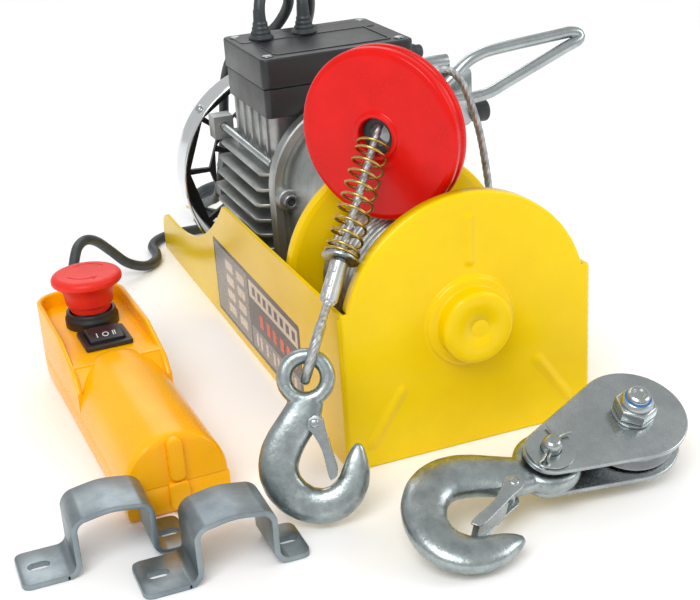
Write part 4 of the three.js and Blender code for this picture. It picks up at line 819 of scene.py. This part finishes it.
def pendant_switches():
    """The mushroom stop button with its knurled rim, its black base, and the three-position rocker."""
    lift = PENDANT @ moved(0, STOP_Y, 0)
    stand = lift @ TO_Z
    base = [[0, 43], [16.2, 43], [16.6, 44.4], [16.6, 49], [15.6, 51.2], [15.2, 53.6], [13.2, 53.6],
            [13.2, 48], [0, 48]]
    piece("stop_button_base", revolved(base, stand, sides=96), BLACK_ABS, "pendant", "estop_base")
    collar = [[0, 58.4], [14.6, 58.4], [15.6, 66], [16.6, 69.6], [17.6, 70.8], [20.8, 71.8], [21.7, 72.9],
              [21.8, 75.2], [21.0, 76.8], [18.5, 77.9], [12, 78.6], [0, 78.9]]
    knurl = lambda a, y: 1 + 0.006 * np.where((y > 72.4) & (y < 75.8), np.abs(np.sin(60 * a)), 0)
    piece("stop_button_cap", revolved(collar, stand, sides=360, ripple=knurl), RED_CAP, "estop",
          "estop_button")
    stem = [[0, 53.6], [12.5, 53.6], [12.8, 58.4], [0, 58.4]]
    piece("stop_button_stem", revolved(stem, stand, sides=64), RED_CAP, "estop")
    arrows = []
    for start in (20, 200):
        ring = np.vstack([arc(0, 0, 13.2, start, start + 78, 20), arc(0, 0, 12.5, start + 78, start, 20)])
        tip = np.vstack([arc(0, 0, radius, start + a, start + b, 2)
                         for radius, a, b in [(14.6, 74, 75), (12.9, 92, 93), (11.1, 75, 74)]])
        arrows += [plate([loop], 78.15, 78.75, 0.1, lift) for loop in (ring, tip)]
    piece("twist_arrows", arrows, RED_ABS, "estop")
    here = PENDANT @ moved(0, ROCKER_Y, 0)
    outer, inner = rounded(-14.5, 14.5, -14, 14, 1.6), rounded(-10.8, 10.8, -9.9, 9.9, 0.8)
    bezel = [plate([outer, inner[::-1]], 44.2, 47.0, 0.6, here),
             plate([rounded(-12.5, 12.5, -12, 12, 1)], 38, 44.6, 0.3, here)]
    piece("rocker_bezel", bezel, BLACK_ABS, "pendant", "rocker_frame")
    key = np.array([[-8.8, 43], [8.8, 43], [8.8, 50.0], [4.6, 51.4], [0.4, 51.2], [-8.6, 48.2]])
    piece("rocker_key", plate([key], -10.4, 10.4, 0.5, here @ ALONG_X), BLACK_ABS, "rocker", "rocker_switch")
    tilt = here @ moved(0, -4.1, 49.72) @ spun(18.4, "X")
    turn = np.linspace(0, TAU, 28, endpoint=False)
    ring = np.stack([2.0 * np.cos(turn), 2.0 * np.sin(turn)], -1)
    bars = [[rounded(x - 0.3, x + 0.3, -2.0, 2.0, 0.2)] for x in (-5.2, 4.6, 5.8)]
    marks = [plate(loops, 0, 0.12, 0.03, tilt) for loops in [[ring, (ring * 0.72)[::-1]]] + bars]
    piece("rocker_marks", marks, PAINTED_MARK, "rocker")


# ---- straps and pulley block --------------------------------------------------------------
def strap(name, x, y, body, node):
    """A mounting strap: flat bar carried along a hat-shaped line, with a slot cut through each foot."""
    line = np.vstack([[[0, 1.6]], [[22, 1.6]], arc(22, 8.1, 6.5, -90, 0, 8), arc(35.5, 24.5, 7, 180, 97, 8),
                      [[48, 33.2]], arc(60.5, 24.5, 7, 83, 0, 8), arc(74, 8.1, 6.5, 180, 270, 8),
                      [[85, 1.6]]])
    line = smooth_path(np.insert(line, 1, 0, axis=1), 0.8)[:, [0, 2]]
    out = leftward(line)
    half = 15.75
    section = rounded(-half, half, -1.6, 1.6, 0.7, 3)
    end = np.clip(np.minimum(np.arange(len(line)), np.arange(len(line))[::-1]) * 0.8 / 5.0, 0, 1)
    narrow = 1 - 0.28 * (1 - np.sqrt(1 - (1 - end) ** 2))
    points = np.stack([line[:, None, 0] + out[:, None, 0] * section[None, :, 1],
                       y - half + narrow[:, None] * section[None, :, 0],
                       line[:, None, 1] + out[:, None, 1] * section[None, :, 1]], -1) + [x, 0, 0]
    thing = piece(name, shell(points), DULL_ZINC, body, node, sharp=34)
    for x0, x1 in [(8, 13), (74.5, 79.5)]:
        tool = plate([bar(x + x0, y - half, x + x1, y - half, 3.2)], -3, 7, 0.1)
        slot = piece("slot_tool", tool, DULL_ZINC, body)
        cutter = thing.modifiers.new("slot", "BOOLEAN")
        cutter.object, cutter.operation, cutter.solver = slot, "DIFFERENCE", "EXACT"
        cut = evaluated(thing)
        thing.modifiers.clear()
        thing.data = cut
        bpy.data.objects.remove(slot)
    thing.data.set_sharp_from_angle(angle=radians(34))


def pear(large, small):
    """A side plate's outline: two round ends about the axle and the clevis pin, joined by straight edges."""
    lean = np.degrees(np.arccos((large - small) / PIN_X))
    return np.vstack([arc(0, 0, large, lean, 360 - lean, 60), arc(PIN_X, 0, small, -lean, lean, 30)])


def hexagon(across, turn=0):
    return arc(0, 0, across / np.sqrt(3), turn, turn + 300, 6)


def on_block(x, turn=0):
    return BLOCK_FRAME @ moved(x, 0, 0) @ spun(turn)


def pulley_block():
    """The snatch block: two pear-shaped plates, the grooved sheave, its bolt and nut, and the clevis pin."""
    hole = lambda x, r: arc(x, 0, r, 360, 0, 33)[:-1]
    axle, pin_axis = BLOCK_FRAME @ TO_Z, on_block(PIN_X) @ TO_Z
    for place, z in [("upper", 7.6), ("lower", -10.6)]:
        cheek = plate([pear(29, 14), hole(0, 6.4), hole(PIN_X, 5.4)], z, z + 3, 0.7, BLOCK_FRAME)
        piece("block_side_" + place, cheek, ZINC, "block", "block_plate_" + place)
    groove = [[6.5, -6.7], [11.5, -6.7], [12, -6.0], [22.5, -6.0], [25.2, -6.2], [25.6, -5.4], [24.6, -4.4],
              [22.4, -2.4], [21, 0], [22.4, 2.4], [24.6, 4.4], [25.6, 5.4], [25.2, 6.2], [22.5, 6.0],
              [12, 6.0], [11.5, 6.7], [6.5, 6.7]]
    wheel = revolved(groove, axle, closed=True, soft=0.4, sides=128)
    piece("grooved_sheave", wheel, MILD, "block_sheave", "sheave")
    thread = lambda a, y: 1 + np.where(y > 20.5, 0.045 * np.abs(np.sin(y * pi / 1.6)), 0) * (y < 25)
    along = np.linspace(20, 25.2, 30)
    shank = np.vstack([[0, -18], [6, -18], [6, 20], np.stack([np.full(len(along), 5.8), along], -1),
                       [4.6, 26.0], [3.2, 26.0], [2.6, 25.2], [0, 25.2]])
    shank = revolved(shank, axle, sides=48, soft=0.2, ripple=thread)
    head = plate([hexagon(18, 12)], -18.1, -10.8, 0.7, BLOCK_FRAME)
    piece("sheave_axle_bolt", [shank, head], ZINC, "block", "sheave_bolt")
    collar = revolved([[6.4, 18.4], [8.9, 18.4], [8.8, 20.6], [7.4, 22.6], [6.4, 22.8]], axle, closed=True,
                      sides=64)
    washer = revolved(oblong(6.4, 11.5, 10.75, 12.0), axle, closed=True, soft=0.3, sides=64)
    nut = [plate([hexagon(19.5, 12), hole(0, 6.2)], 12.0, 19.2, 1.0, BLOCK_FRAME), collar, washer]
    piece("lock_nut", nut, ZINC, "block", "sheave_nut")
    insert = revolved([[5.9, 20.8], [7.3, 20.8], [7.2, 22.9], [5.9, 22.9]], axle, closed=True, soft=0.2,
                      sides=64)
    piece("lock_nut_insert", insert, NYLON, "block")
    pin = [[0, -14.1], [6.6, -14.1], [8, -13.2], [8, -10.8], [5.2, -10.8], [5.2, 16.2], [4.6, 18.0],
           [3.2, 19.2], [0, 19.6]]
    piece("clevis_pin_turned", revolved(pin, pin_axis, sides=64), ZINC, "block", "clevis_pin")
    ring = revolved(oblong(5.4, 12.8, 10.8, 12.4), pin_axis, closed=True, soft=0.3, sides=80)
    piece("clevis_flat_washer", ring, ZINC, "block", "clevis_washer")
    legs = [[-13.5, 6.0, 14.2], [-9, 2.4, 14.4], [-4, 0.9, 14.4], [5.5, 0.9, 14.4], [9.5, 0.9, 14.4],
            [12.5, 2.6, 14.4], [14.8, 1.6, 14.4], [15.2, -0.6, 14.4], [13.6, -2.2, 14.4], [10.5, -1.2, 14.4],
            [5, -0.9, 14.4], [-5, -0.9, 14.4], [-9, -2.6, 14.4], [-12.5, -6.6, 14.2]]
    split = swept(smooth_path(legs, 0.6), 0.8, 12, matrix=on_block(PIN_X, 35))
    piece("split_pin", split, ZINC, "block", sharp=70)
    forged_hook("block_forged_hook", BLOCK_HOOK_FRAME, "block_swivel", "block_hook")
    latch("block_latch_sheet", BLOCK_HOOK_FRAME, "block_latch", "block_hook_latch")


rope_end()
rope_eye()
forged_hook("rope_forged_hook", HOOK_FRAME, "hook", "rope_hook")
latch("rope_latch_sheet", HOOK_FRAME, "hook_latch", "rope_hook_latch")
stop_disc()
front_plate()
welds()
drum()
gearbox()
motor()
fan_end()
control_box()
lever()
pendant_shells()
pendant_switches()
strap("strap_left_bent", -259.5, -0.5, "strap_left", "mounting_strap_left")
strap("strap_right_bent", -207, -35, "strap_right", "mounting_strap_right")
pulley_block()

KEPT = {"frame_channel": ENAMEL, "drum_barrel": MILD, "front_bearing": MILD, "drum_ring_gear": MILD,
        "intermediate_gear": MILD, "motor_shaft": MILD, "rotor": MILD, "stator": MILD,
        "rear_end_shield": CAST, "cooling_fan": BLACK_ABS, "fan_grille": BLACK_ABS,
        "motor_capacitor": INNER, "limit_switch": BLACK_ABS}
for node, material in KEPT.items():
    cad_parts[node].data.materials.clear()
    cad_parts[node].data.materials.append(material)


def wall_label():
    """A printed label on the left wall: a dark sheet, a silver panel, pale rows, orange bars and no words."""
    def patch(name, boxes, material, lift):
        sheets = [plate([rounded(*box)], -75.02 - lift, -74.98, 0.0, ALONG_X) for box in boxes]
        piece(name, sheets, material, "hoist")
    patch("label_sheet", [(72, 250, 6, 60, 2)], PRINT_DARK, 0.10)
    patch("label_silver_panel", [(173, 247.5, 8.5, 57.5, 1.5)], PRINT_SILVER, 0.16)
    patch("label_grey_band", [(76, 170, 9, 24, 1)], PRINT_SILVER, 0.16)
    rows = [(y, y + 17, z, z + 6.5, 1.5) for y in (181, 206) for z in (14, 24.5, 35, 45.5)]
    rows += [(y, y + 4, 12, 21, 0.8) for y in (84, 92, 104, 116, 124, 138, 150, 158)]
    rows += [(76, 170, 44, 56, 1)]
    patch("label_pale_rows", rows, PRINT_PALE, 0.20)
    patch("label_dark_rows", [(y, y + 6, 47, 53, 0.6) for y in range(80, 164, 11)], PRINT_DARK, 0.24)
    patch("label_orange_bars", [(y, y + 7, 29, 38, 0.8) for y in (80, 92, 104, 118, 130, 144)],
          PRINT_ORANGE, 0.20)


wall_label()

# ---- studio -------------------------------------------------------------------------------
PAPER = finish("pale_studio_paper", ("#ffffff", "#fbfbfb"), (0.6, 0.7), 20, 0.01, 400)
paper = bpy.data.meshes.new("studio_floor")
paper.from_pydata([(-6, -6, 0), (6, -6, 0), (6, 6, 0), (-6, 6, 0)], [], [(0, 1, 2, 3)])
paper.materials.append(PAPER)
put("studio_floor", paper)


def softbox(name, place, aim, size, power):
    """A square lamp of this size in metres and power in watts, turned to its aim."""
    light = bpy.data.lights.new(name, "AREA")
    light.shape, light.size, light.energy = "SQUARE", size, power
    holder = put(name, light)
    holder.location = place
    holder.rotation_euler = (Vector(aim) - Vector(place)).to_track_quat("-Z", "Y").to_euler()


softbox("key_softbox", (-0.9, -1.3, 1.7), (0, -0.1, 0.1), 1.2, 27)
softbox("fill_softbox", (1.6, -0.9, 1.1), (0, -0.1, 0.1), 1.0, 10)
softbox("back_softbox", (0.2, 1.5, 1.6), (0, 0, 0.1), 1.4, 11)
world = bpy.data.worlds.new("studio_air")
world.use_nodes = True
air = world.node_tree.nodes["Background"].inputs
air["Color"].default_value, air["Strength"].default_value = (1, 1, 1, 1), 0.62
bpy.context.scene.world = world
bpy.context.scene.view_settings.view_transform = "Standard"
